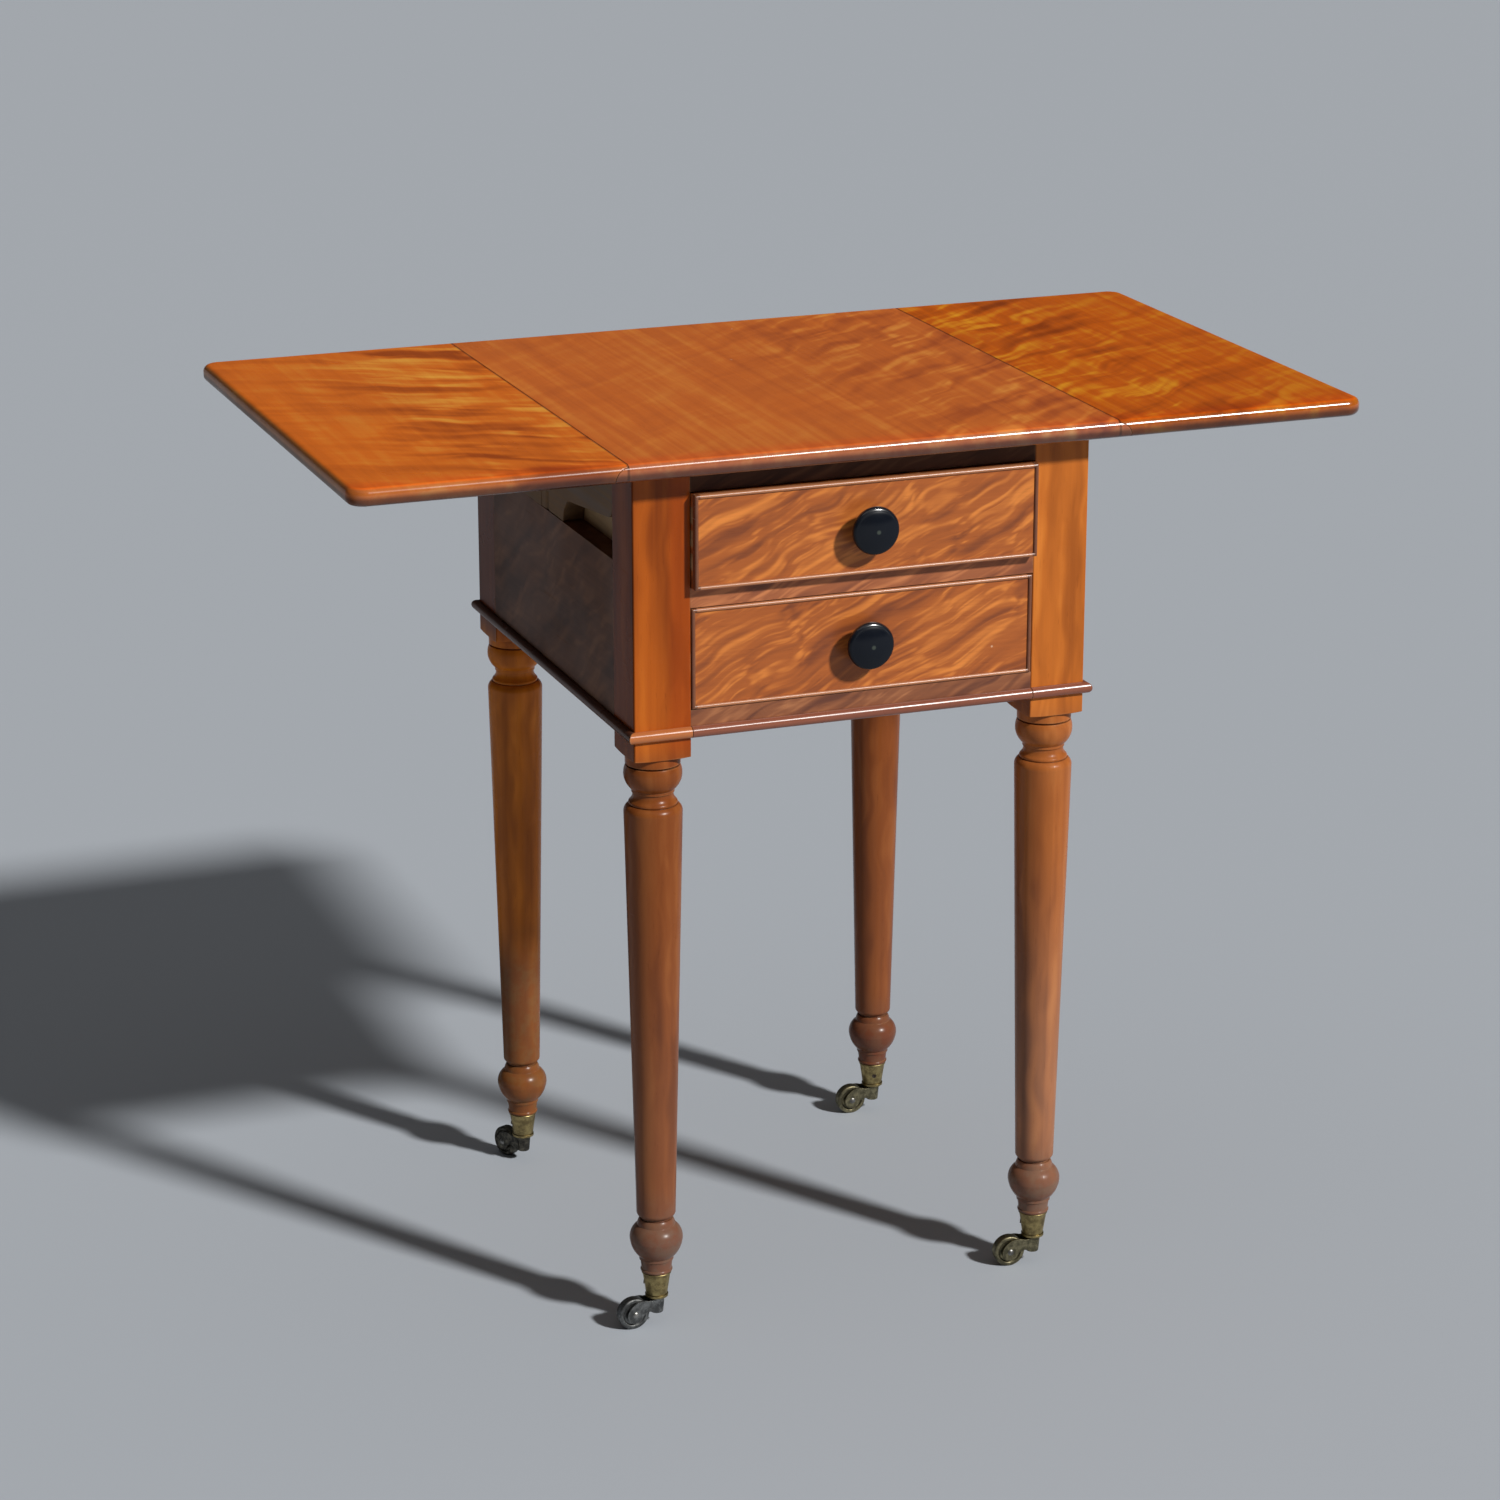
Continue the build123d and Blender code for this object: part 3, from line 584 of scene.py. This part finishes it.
def top_tint(tree, place, colour):
    """Dirt in the joints, a redder front margin, a nosing browned by wear and painted shade, and painted
    shade below it.
    """
    x, y, z = split(tree, place)
    away = calc(tree, "ABSOLUTE", calc(tree, "SUBTRACT", calc(tree, "ABSOLUTE", x), joint_x))
    dirty = times(tree, colour, joint_dirt)
    redder = times(tree, colour, redder_margin)
    colour = blend(tree, between(tree, y, margin_start, margin_full), colour, redder)
    colour = blend(tree, between(tree, away, *joint_dirt_reach, 0.0, joint_dirt_share), colour, dirty)
    brown = times(tree, colour, nosing_brown_and_shade)
    colour = blend(tree, below_surface(tree, z, *nosing_depths), colour, brown)
    under = times(tree, brown, painted_shade_below)
    return blend(tree, below_surface(tree, z, *under_depths), colour, under)


print("joints of the leaves at", round(joint_x, 4))

# %% Lustre of the top
rubbed_depths = (0.0010, 0.0028)
rub_start, rub_full = left_end + 0.002, left_end + 0.008
plain_coat, rubbed_coat = 0.05, 1.0
rubbed_smoother = 0.12


def nosing_lustre(tree, place):
    """The rounded edge of the top is rubbed to a brighter, smoother polish, but not at its left end."""
    x, _, z = split(tree, place)
    edge = below_surface(tree, z, *rubbed_depths)
    edge = calc(tree, "MULTIPLY", edge, between(tree, x, rub_start, rub_full))
    coat = between(tree, edge, 0.0, 1.0, plain_coat, rubbed_coat)
    return coat, calc(tree, "MULTIPLY", edge, rubbed_smoother)


print("clear coat of the top from", plain_coat, "to", rubbed_coat)

# %% Woods of the top
top_look = {"shine": 0.15, "tint": top_tint, "lustre": nosing_lustre}
top_board = birch(
    "top board",
    tones=((0.98, 0.375, 0.065), (0.71, 0.170, 0.028), (0.42, 0.082, 0.020)),
    grain=along_y,
    bands=(0, 0, -40),
    figure=dict(
        length=0.110, width=0.0165, bend=0.03, crests=0.90, troughs=0.9, streaks=1.4, streak_width=0.010
    ),
    zone=(-0.02, 0.15, 0.17),
    **top_look,
)
leaf_left = birch(
    "left leaf",
    tones=((0.99, 0.440, 0.060), (0.81, 0.182, 0.016), (0.42, 0.076, 0.008)),
    grain=along_y,
    bands=(0, 0, 26),
    figure=dict(
        length=0.115, width=0.020, bend=0.03, crests=0.95, troughs=1.15, streaks=0.9, streak_width=0.010
    ),
    zone=(-0.38, -0.26, 0.25),
    **top_look,
)
leaf_right = birch(
    "right leaf",
    tones=((0.99, 0.430, 0.020), (0.70, 0.134, 0.004), (0.33, 0.054, 0.002)),
    grain=along_y,
    bands=(0, 0, -35),
    figure=dict(
        length=0.120, width=0.019, bend=0.035, crests=0.85, troughs=0.95, streaks=1.2, streak_width=0.009
    ),
    zone=(0.38, 0.27, 0.35),
    **top_look,
)

# %% Woods of the case
slanting_ripple = dict(
    length=0.130, width=0.0064, bend=0.024, crests=0.95, troughs=0.8, streaks=0.5, streak_width=0.003
)
drawer_wood = birch(
    "drawer front",
    tones=((0.82, 0.272, 0.052), (0.44, 0.117, 0.025), (0.18, 0.048, 0.020)),
    grain=along_x,
    bands=slanting,
    figure={**slanting_ripple, "crests": 0.88, "troughs": 0.72},
)
# The top rail's tones are painted shade: it lies under the overhang of the top, so it is made far darker than
# the other rails.
rail_tones = {
    "middle rail": ((0.64, 0.232, 0.088), (0.38, 0.122, 0.048), (0.16, 0.050, 0.029)),
    "bottom rail": ((0.49, 0.196, 0.082), (0.29, 0.103, 0.045), (0.122, 0.042, 0.027)),
    "top rail": ((0.14, 0.060, 0.030), (0.09, 0.036, 0.019), (0.05, 0.021, 0.014)),
}
rail_shine = {"middle rail": 0.30, "bottom rail": 0.30, "top rail": 0.06}
rail_woods = {
    name: birch(name, tones, along_x, slanting, slanting_ripple, shine=rail_shine[name])
    for name, tones in rail_tones.items()
}
# The side panels are darker than the other boards: partly their own tone, partly painted shade, as the left
# panel lies in shade.
panel_wood_and_shade = birch(
    "side panels",
    tones=((0.22, 0.098, 0.049), (0.145, 0.062, 0.034), (0.085, 0.038, 0.023)),
    grain=along_y,
    bands=(30, 0, -90),
    figure=dict(
        length=0.06, width=0.014, bend=0.03, crests=0.9, troughs=1.0, streaks=1.2, streak_width=0.005
    ),
    gloss=0.45,
    shine=0.04,
)
back_wood = birch(
    "back panel",
    tones=((0.50, 0.180, 0.056), (0.34, 0.105, 0.034), (0.19, 0.058, 0.022)),
    grain=along_x,
    bands=slanting,
    figure=dict(
        length=0.07, width=0.012, bend=0.03, crests=0.6, troughs=0.6, streaks=0.8, streak_width=0.005
    ),
)

# %% Woods of the beads and mouldings
bead_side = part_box("upper_cock_bead")[1].x
upright_start, upright_full = bead_side - 0.0050, bead_side - 0.0035
# Painted shade on the upright beads.
painted_upright_shade = (0.42, 0.36, 0.36)
post_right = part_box("leg_front_left")[1].x
yellow_end = (1.9, 1.9, 1.0)
end_fade = 0.0003
plain_strip = dict(
    length=0.1, width=0.01, bend=0.0, crests=0.2, troughs=0.2, streaks=0.9, streak_width=0.004
)


def bead_tint(tree, place, colour):
    """The upright beads at the sides are darker than the level ones: painted shade."""
    off_middle = calc(tree, "ABSOLUTE", split(tree, place)[0])
    upright = between(tree, off_middle, upright_start, upright_full)
    return blend(tree, upright, colour, times(tree, colour, painted_upright_shade))


def moulding_tint(tree, place, colour):
    """The left end of the front moulding is a yellower strip than the rest."""
    share = between(tree, split(tree, place)[0], post_right + end_fade, post_right - end_fade)
    return blend(tree, share, colour, times(tree, colour, yellow_end))


bead_wood = birch(
    "cock beads",
    tones=((0.66, 0.285, 0.130), (0.48, 0.190, 0.082), (0.28, 0.100, 0.046)),
    grain=along_x,
    bands=along_x,
    figure={**plain_strip, "length": 0.08, "streaks": 0.8},
    rub=0.7,
    gloss=0.28,
    shine=0.5,
    tint=bead_tint,
)
moulding_wood = birch(
    "moulding",
    tones=((0.40, 0.135, 0.070), (0.26, 0.080, 0.042), (0.15, 0.044, 0.025)),
    grain=along_x,
    bands=along_x,
    figure=plain_strip,
    rub=0.6,
    gloss=0.24,
    shine=0.5,
    tint=moulding_tint,
)
# The left and back mouldings are a darker copy of the moulding: painted shade.
painted_shade_moulding = birch(
    "shaded moulding",
    tones=((0.16, 0.060, 0.032), (0.10, 0.036, 0.020), (0.06, 0.022, 0.013)),
    grain=along_y,
    bands=along_y,
    figure=plain_strip,
    rub=0.4,
    gloss=0.30,
    shine=0.10,
)

# %% Tints of the legs
post_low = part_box("moulding_front")[0].z
turned_start, turned_full = post_low + 0.002, post_low - 0.03
stripe_red = (0.80, 0.64, 0.60)
painted_shade_face = (0.42, 0.36, 0.45)
on_face, off_face = 0.0002, 0.0016
leg_coat = 0.32
scuff = (1.02, 0.76, 0.70)
scuffs_per_metre = 85.0
scuff_levels = (0.40, 0.62)
scuff_share = 0.85
foot_fade = 0.06
# A pale haze towards the floor: partly dust, partly painted sheen, the floor's reflection at grazing angles.
dust_and_sheen_colour = (0.34, 0.40, 0.36)
dust_and_sheen_top, dust_and_sheen_full = 0.40, 0.15
stripe_place = (post_right - 0.022, post_right - 0.012)


def leg_tint(corner, post, turned_part, foot=(0.172, 0.106, 0.076), foot_top=0.13, dust_and_sheen=0.0, stripe=None):
    """Colour the square post, its left face with painted shade, the turned part with dust and painted sheen,
    and the foot.
    """
    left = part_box(f"leg_{corner}")[0].x

    def tint(tree, place, colour):
        x, _, z = split(tree, place)
        square = times(tree, colour, post)
        if stripe:
            redder = times(tree, square, stripe_red)
            square = blend(tree, between(tree, x, *stripe), square, redder)
        # Painted shade on the left face of the post.
        dull = times(tree, square, painted_shade_face)
        square = blend(tree, between(tree, x, left + off_face, left + on_face), square, dull)
        below = between(tree, z, turned_start, turned_full)
        colour = blend(tree, below, square, times(tree, colour, turned_part))
        # Dust and painted sheen towards the floor.
        colour = blend(tree, between(tree, z, dust_and_sheen_top, dust_and_sheen_full, 0.0, dust_and_sheen), colour, dust_and_sheen_colour)
        patches = noise(tree, place, scuffs_per_metre, detail=3.0, roughness=0.6).outputs["Fac"]
        scuffed = blend(tree, between(tree, patches, *scuff_levels), times(tree, foot, scuff), foot)
        share = between(tree, z, foot_top, foot_top - foot_fade, 0.0, scuff_share)
        return blend(tree, share, colour, scuffed)

    return tint


def leg_lustre(corner):
    """The left face of the post, which carries painted shade in its colour, has no coat left."""
    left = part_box(f"leg_{corner}")[0].x

    def lustre(tree, place):
        x = split(tree, place)[0]
        return between(tree, x, left + on_face, left + off_face, 0.0, leg_coat), 0.0

    return lustre


print("square posts end at", round(post_low, 4))

# %% Woods of the legs
leg_tones = ((0.70, 0.195, 0.034), (0.46, 0.105, 0.016), (0.20, 0.038, 0.007))
leg_figure = dict(
    length=0.25, width=0.013, bend=0.02, crests=0.45, troughs=0.65, streaks=1.0, streak_width=0.012
)
leg_look = {"rub": 0.55, "hollow": 0.85, "gloss": 0.25, "shine": 0.03, "polish": 0.27}
leg_tints = {
    "front_left": dict(
        post=(1.02, 0.97, 0.52), turned_part=(0.51, 0.60, 0.88), dust_and_sheen=0.05, stripe=stripe_place
    ),
    "front_right": dict(post=(1.28, 1.54, 1.40), turned_part=(0.92, 1.21, 1.85), dust_and_sheen=0.15),
    # The back left leg holds painted light and painted shade: its turned part is lightened where it lies in
    # shade, and its lower part and foot are darkened with painted shade.
    "back_left": dict(
        post=(0.7, 0.7, 0.8), turned_part=(1.40, 1.72, 0.85), foot=(0.150, 0.074, 0.032), foot_top=0.235
    ),
    "back_right": dict(
        post=(1.0, 1.0, 1.0), turned_part=(0.54, 0.62, 0.82), foot=(0.150, 0.066, 0.040), dust_and_sheen=0.03
    ),
}
leg_woods = {}
for corner, colours in leg_tints.items():
    tint = leg_tint(corner, **colours)
    leg_woods[corner] = birch(
        f"leg {corner}", leg_tones, along_z, along_z, leg_figure,
        tint=tint, lustre=leg_lustre(corner), **leg_look,
    )

# %% [markdown]
# ## Plain wood, black polish and metal
#
# Inside, where nobody was meant to look, the wood was left bare and has only darkened with age.
# The knobs are turned wood under black polish. The castors are brass that has gone dull, and
# their wheels are nearly grey from use. Metal is told from paint by one number, Metallic, and
# its age by how its colour and roughness vary together.

# %% Bare wood
bare_streak_width = 0.006
bare_streaks, bare_clouds = 0.7, 0.3
bare_levels = (0.3, 0.7)
bare_roughness = (0.62, 0.78)
bare_dirt_and_shade = (0.55, 0.48, 0.42)
hollow_dirt_and_shade, pore_dirt, smudge_dirt = 0.8, 0.35, 0.4
strong_smudges = (0.45, 0.75)


def bare_wood(name, light, dark, grain):
    """Wood without polish: streaks in two colours, with dirt in pores and smudges, and dirt and painted shade
    in hollows.
    """
    made, tree, place, shader = start_material(name)
    values = {"Grain": turned(tree, place, grain), "Bands": place, "Streak Width": bare_streak_width}
    wood = use(tree, figure_group, values)
    edges = use(tree, edge_group, {"Vector": place})
    marks = use(tree, marks_group, {"Vector": place})
    streaks = calc(tree, "MULTIPLY", wood["Streak"], bare_streaks)
    tone = calc(tree, "ADD", streaks, calc(tree, "MULTIPLY", wood["Cloud"], bare_clouds))
    colour = blend(tree, between(tree, tone, *bare_levels), dark, light)
    dirty = times(tree, colour, bare_dirt_and_shade)
    # The hollows get dirt and painted shade.
    colour = blend(tree, calc(tree, "MULTIPLY", edges["Hollow"], hollow_dirt_and_shade), colour, dirty)
    colour = blend(tree, calc(tree, "MULTIPLY", wood["Pores"], pore_dirt), colour, dirty)
    smudged = between(tree, marks["Smudge"], *strong_smudges, 0.0, smudge_dirt)
    colour = blend(tree, smudged, colour, dirty)
    rough = between(tree, wood["Streak"], *bare_levels, *bare_roughness)
    normal = bump(tree, wood["Streak"], strength=0.2, distance=0.0005, normal=edges["Normal"])
    plug(tree, shader, base_color=colour, roughness=rough, normal=normal)
    print("bare wood:", name)
    return made


inside_y = bare_wood("bare wood front to back", (0.56, 0.36, 0.17), (0.38, 0.22, 0.095), along_y)
inside_x = bare_wood("bare wood side to side", (0.54, 0.345, 0.165), (0.36, 0.21, 0.09), along_x)
# The fly rails and brackets are darkened with painted shade, for they lie in the shadow of the leaves.
bracket_wood_and_shade = bare_wood("fly bracket with painted shade", (0.20, 0.100, 0.034), (0.11, 0.052, 0.018), along_y)

# %% Black polish
black, brown_black = (0.005, 0.007, 0.012), (0.010, 0.011, 0.014)
rubbed_black = (0.060, 0.050, 0.045)
pale_spot = (0.070, 0.085, 0.070)
rubbed_share, spot_share = 0.5, 0.7
spot_radius = (0.0022, 0.0010)
upper_part = (0.30, 0.80)
rim_part = (0.70, 0.86)
face_coat, rim_coat = 0.10, 1.0
black_roughness = (0.16, 0.24)
lathe_rings = 5200.0


def black_polish(name, knob_node):
    """Black polish on a turned knob, with a glossy upper rim and a pale spot in the middle."""
    low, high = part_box(knob_node)
    middle = (low + high) / 2
    reach = (high.x - low.x) / 2
    made, tree, place, shader = start_material(name)
    from_axis = move(tree, "SUBTRACT", place, tuple(middle))
    flat = move(tree, "MULTIPLY", from_axis, (1.0, 0.0, 1.0))
    radius = put(tree, "VectorMath", {0: flat}, operation="LENGTH").outputs["Value"]
    edges = use(tree, edge_group, {"Vector": place, "Rub": 0.003})
    marks = use(tree, marks_group, {"Vector": place})
    colour = blend(tree, between(tree, marks["Smudge"], *strong_smudges), black, brown_black)
    colour = blend(tree, calc(tree, "MULTIPLY", edges["Rubbed"], rubbed_share), colour, rubbed_black)
    colour = blend(tree, between(tree, radius, *spot_radius, 0.0, spot_share), colour, pale_spot)
    upper = between(tree, split(tree, from_axis)[2], *(reach * part for part in upper_part))
    outer = between(tree, radius, *(reach * part for part in rim_part))
    coat = between(tree, calc(tree, "MULTIPLY", outer, upper), 0.0, 1.0, face_coat, rim_coat)
    rough = between(tree, marks["Smudge"], *smudge_levels, *black_roughness)
    rings = calc(tree, "SINE", calc(tree, "MULTIPLY", radius, lathe_rings))
    normal = bump(tree, rings, strength=0.04, distance=0.0002, normal=edges["Normal"])
    plug(tree, shader, base_color=colour, roughness=rough, normal=normal, specular_ior_level=0.12)
    plug(tree, shader, coat_weight=coat, coat_roughness=0.20, coat_ior=1.9)
    print(f"{name}: {2 * reach:.4f} metres across")
    return made


knob_finish = {name: black_polish(f"black polish {name}", f"{name}_knob") for name in ("upper", "lower")}

# %% Metals
metal_dirt = (0.35, 0.33, 0.30)
metal_dirt_share, metal_rub = 0.8, 0.7
patina_spread = 0.16
patch_levels = (0.3, 0.7)
metal_edges = {"Round": 0.0003, "Rub": 0.0008, "Reach": 0.003}


def old_metal(name, bright, dull, rough, patina=0.5):
    """Metal with dull patina in patches, dirt in hollows and bright rubbed edges.

    `rough` is the roughness of the bright and of the dull metal.
    """
    made, tree, place, shader = start_material(name)
    edges = use(tree, edge_group, {"Vector": place, **metal_edges})
    patch = noise(tree, place, scale=190.0, detail=4.0, roughness=0.65).outputs["Fac"]
    speck = noise(tree, place, scale=900.0, detail=2.0, roughness=0.6).outputs["Fac"]
    clean = between(tree, patch, patina - patina_spread, patina + patina_spread)
    colour = blend(tree, clean, dull, bright)
    dirty = times(tree, colour, metal_dirt)
    colour = blend(tree, calc(tree, "MULTIPLY", edges["Hollow"], metal_dirt_share), colour, dirty)
    colour = blend(tree, calc(tree, "MULTIPLY", edges["Rubbed"], metal_rub), colour, bright)
    bright_rough, dull_rough = rough
    roughness = between(tree, patch, *patch_levels, dull_rough, bright_rough)
    normal = bump(tree, speck, strength=0.12, distance=0.0002, normal=edges["Normal"])
    plug(tree, shader, base_color=colour, roughness=roughness, metallic=1.0, normal=normal)
    return made


cup_brass = old_metal("cup brass", (0.44, 0.345, 0.150), (0.21, 0.160, 0.075), (0.36, 0.54))
castor_grey = old_metal("castor grey", (0.26, 0.265, 0.26), (0.085, 0.088, 0.088), (0.40, 0.60), patina=0.55)
castor_olive = old_metal("castor olive", (0.30, 0.265, 0.16), (0.10, 0.092, 0.060), (0.38, 0.58), patina=0.52)
castor_dark = old_metal("castor dark", (0.17, 0.155, 0.12), (0.050, 0.047, 0.042), (0.42, 0.62), patina=0.55)
hinge_iron = old_metal("hinge iron", (0.14, 0.115, 0.095), (0.045, 0.032, 0.026), (0.48, 0.70))
pin_steel = old_metal("pin steel", (0.36, 0.35, 0.33), (0.13, 0.125, 0.115), (0.32, 0.50), patina=0.48)
print("materials:", len(bpy.data.materials))

# %% [markdown]
# ## Giving every piece its finish
#
# A table of names and materials is enough here. Names that end in a side or a corner are made
# in loops, so that a left piece and its right partner can't be given different finishes by a
# slip of the pen. The last line checks that no piece was forgotten.

# %% Finishes of single pieces
finish = {
    "top_board": top_board,
    "leaf_left": leaf_left,
    "leaf_right": leaf_right,
    "back_panel": back_wood,
    "upper_runners": inside_y,
    "lower_runners": inside_y,
    "kickers": inside_y,
    "drawer_stops": inside_x,
    "castor_cups": cup_brass,
}
for rail in ("top", "middle", "bottom"):
    finish[f"front_{rail}_rail"] = rail_woods[f"{rail} rail"]
print("single pieces:", len(finish))

# %% Finishes of sets
castor_metals = {
    "front_left": castor_grey,
    "front_right": castor_olive,
    "back_left": castor_dark,
    "back_right": castor_olive,
}
for side in ("left", "right"):
    finish[f"side_panel_{side}"] = panel_wood_and_shade
    finish[f"inner_rail_{side}"] = inside_y
    finish[f"fly_rail_{side}"] = bracket_wood_and_shade
    finish[f"fly_bracket_{side}"] = bracket_wood_and_shade
    finish[f"fly_pin_{side}"] = pin_steel
    finish[f"hinge_pins_{side}"] = pin_steel
    finish[f"board_flaps_{side}"] = hinge_iron
    finish[f"leaf_flaps_{side}"] = hinge_iron
for side in ("front", "back", "left", "right"):
    finish[f"moulding_{side}"] = moulding_wood if side in ("front", "right") else painted_shade_moulding
for drawer in ("upper", "lower"):
    finish[f"{drawer}_drawer_front"] = drawer_wood
    finish[f"{drawer}_drawer_sides"] = inside_y
    finish[f"{drawer}_drawer_back"] = inside_x
    finish[f"{drawer}_drawer_bottom"] = inside_x
    finish[f"{drawer}_cock_bead"] = bead_wood
    finish[f"{drawer}_knob"] = knob_finish[drawer]
for corner, metal in castor_metals.items():
    finish[f"leg_{corner}"] = leg_woods[corner]
    finish[f"castor_horn_{corner}"] = metal
    finish[f"castor_wheel_{corner}"] = metal
    finish[f"castor_axle_{corner}"] = pin_steel
print("all pieces:", len(finish))

# %% Assign the finishes
for name, material in finish.items():
    mesh = nodes[name].data
    mesh.materials.clear()
    mesh.materials.append(material)
print("pieces without a finish:", sorted(set(nodes) - set(finish)))

# %% [markdown]
# ## Screws
#
# The hinges are held by slotted screws, three to a flap, and each castor cup by one. They are
# all the same shape in different places, so Geometry Nodes make them: a mesh holds one point
# for each screw with the way it faces and the turn of its slot, the tree puts a slotted head on
# every point, and the result is turned into a plain mesh for each body that carries screws.

# %% Screw tree: the slotted head
head_sides = 28
slot_reach = 3.0
screw_tree = bpy.data.node_groups.new("slotted screws", "GeometryNodeTree")
screw_inputs = {
    "Points": "Geometry",
    "Head Radius": "Float",
    "Head Height": "Float",
    "Slot Width": "Float",
    "Finish": "Material",
}
for label, kind in screw_inputs.items():
    screw_tree.interface.new_socket(label, in_out="INPUT", socket_type="NodeSocket" + kind)
screw_tree.interface.new_socket("Screws", in_out="OUTPUT", socket_type="NodeSocketGeometry")
given = screw_tree.nodes.new("NodeGroupInput").outputs


def screw_node(kind, values, **settings):
    return add_node(screw_tree, kind, values, **settings)


head_size = {"Vertices": head_sides, "Radius": given["Head Radius"], "Depth": given["Head Height"]}
head = screw_node("GeometryNodeMeshCylinder", head_size).outputs["Mesh"]
slot_length = calc(screw_tree, "MULTIPLY", given["Head Radius"], slot_reach)
slot_sides = {"X": slot_length, "Y": given["Slot Width"], "Z": given["Head Height"]}
slot_size = put(screw_tree, "CombineXYZ", slot_sides).outputs[0]
slot = screw_node("GeometryNodeMeshCube", {"Size": slot_size}).outputs["Mesh"]
half_up = calc(screw_tree, "MULTIPLY", given["Head Height"], 0.5)
lift = put(screw_tree, "CombineXYZ", {"Z": half_up}).outputs[0]
slot = screw_node("GeometryNodeTransform", {"Geometry": slot, "Translation": lift}).outputs[0]
cut = screw_node("GeometryNodeMeshBoolean", {"Mesh 1": head, "Mesh 2": slot}, operation="DIFFERENCE")
slotted_head = cut.outputs["Mesh"]
print("nodes of the slotted head:", len(screw_tree.nodes))

# %% Screw tree: heads on the points


def attribute(name, kind):
    """What the points hold under a name."""
    made = screw_node("GeometryNodeInputNamedAttribute", {"Name": name}, data_type=kind)
    return made.outputs["Attribute"]


facing = {"Vector": attribute("facing", "FLOAT_VECTOR")}
aligned = screw_node("FunctionNodeAlignRotationToVector", facing, axis="Z").outputs[0]
spin = put(screw_tree, "CombineXYZ", {"Z": attribute("turn", "FLOAT")}).outputs[0]
spin = screw_node("FunctionNodeEulerToRotation", {0: spin}).outputs[0]
rotated = screw_node("FunctionNodeRotateRotation", {0: aligned, 1: spin}, rotation_space="LOCAL")
on_points = {"Points": given["Points"], "Instance": slotted_head, "Rotation": rotated.outputs[0]}
placed = screw_node("GeometryNodeInstanceOnPoints", on_points).outputs[0]
whole = screw_node("GeometryNodeRealizeInstances", {"Geometry": placed}).outputs[0]
coloured = screw_node("GeometryNodeSetMaterial", {"Geometry": whole, "Material": given["Finish"]})
screw_tree.links.new(coloured.outputs[0], screw_tree.nodes.new("NodeGroupOutput").inputs[0])
print("nodes of the screw tree:", len(screw_tree.nodes))

# %% Making screws


def screws(name, body, places, sizes, material):
    """Screw heads at (point, facing, turn) places, as one mesh that rides on a body."""
    points = bpy.data.meshes.new(name + " points")
    points.from_pydata([place for place, _, _ in places], [], [])
    points.attributes.new("facing", "FLOAT_VECTOR", "POINT")
    points.attributes.new("turn", "FLOAT", "POINT")
    for index, (_, way, angle) in enumerate(places):
        points.attributes["facing"].data[index].vector = way
        points.attributes["turn"].data[index].value = angle
    carrier = new_mesh_object(name + " carrier", points)
    modifier = carrier.modifiers.new("screws", "NODES")
    modifier.node_group = screw_tree
    sockets = {item.name: item.identifier for item in screw_tree.interface.items_tree}
    for label, value in (*sizes.items(), ("Finish", material)):
        modifier[sockets[label]] = value
    seen = bpy.context.evaluated_depsgraph_get()
    mesh = bpy.data.meshes.new_from_object(carrier.evaluated_get(seen))
    carrier.modifiers.clear()
    bpy.data.objects.remove(carrier)
    made = new_mesh_object(name, mesh)
    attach(made, body)
    print(f"{name}: {len(places)} screws, {len(mesh.polygons)} faces")


print("sizes of a screw:", [label for label, kind in screw_inputs.items() if kind == "Float"])

# %% Screws of the hinges
flap_screw = {"Head Radius": 0.0034, "Head Height": 0.0008, "Slot Width": 0.0008}
down = Vector((0.0, 0.0, -1.0))
hinge_half = 0.018
screw_apart = 0.010
slot_turns, turn_per_x, turn_per_y = 40.0, 900.0, 500.0


def flap_places(node, inner_inset, outer_inset):
    """Three screws in each flap of a node, two of them at the end towards the middle of the table.

    Where a screw lies sets the angle of its slot, so that the slots differ.
    """
    low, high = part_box(node)
    outward = 1.0 if high.x > 0 else -1.0
    near, far = sorted((low.x, high.x), key=abs)
    inner, outer = near + outward * inner_inset, far - outward * outer_inset
    places = []
    for y in (low.y + hinge_half, high.y - hinge_half):
        for x, across in ((inner, -screw_apart), (inner, screw_apart), (outer, 0.0)):
            angle = slot_turns * math.sin(turn_per_x * x + turn_per_y * (y + across))
            places.append((Vector((x, y + across, low.z)), down, angle))
    return places


for side in ("left", "right"):
    board_screws = flap_places(f"board_flaps_{side}", inner_inset=0.008, outer_inset=0.013)
    leaf_screws = flap_places(f"leaf_flaps_{side}", inner_inset=0.018, outer_inset=0.010)
    screws(f"board_flap_screws_{side}", "case", board_screws, flap_screw, pin_steel)
    screws(f"leaf_flap_screws_{side}", f"{side}_leaf", leaf_screws, flap_screw, pin_steel)

# %% Screws of the castor cups
cup_screw = {"Head Radius": 0.0019, "Head Height": 0.0010, "Slot Width": 0.0005}
cup_radius = 0.0099
cup_turns = {"front_left": 150.0, "front_right": 150.0, "back_left": 150.0, "back_right": -101.0}
cup_low, cup_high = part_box("castor_cups")
cup_middle = (cup_low.z + cup_high.z) / 2
cup_places = []
for corner, degrees in cup_turns.items():
    low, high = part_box(f"leg_{corner}")
    centre = (low + high) / 2
    angle = math.radians(degrees)
    way = Vector((math.cos(angle), math.sin(angle), 0.0))
    point = Vector((centre.x, centre.y, cup_middle)) + way * cup_radius
    cup_places.append((point, way, angle))
screws("cup_screws", "case", cup_places, cup_screw, hinge_iron)

# %% [markdown]
# ## Sizes and the end
#
# The finish must not change the size of the table. The box of the finished table is measured
# now and printed.

# %% Sizes
low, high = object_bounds()
print("finished size in metres:", [round(side, 4) for side in high - low])
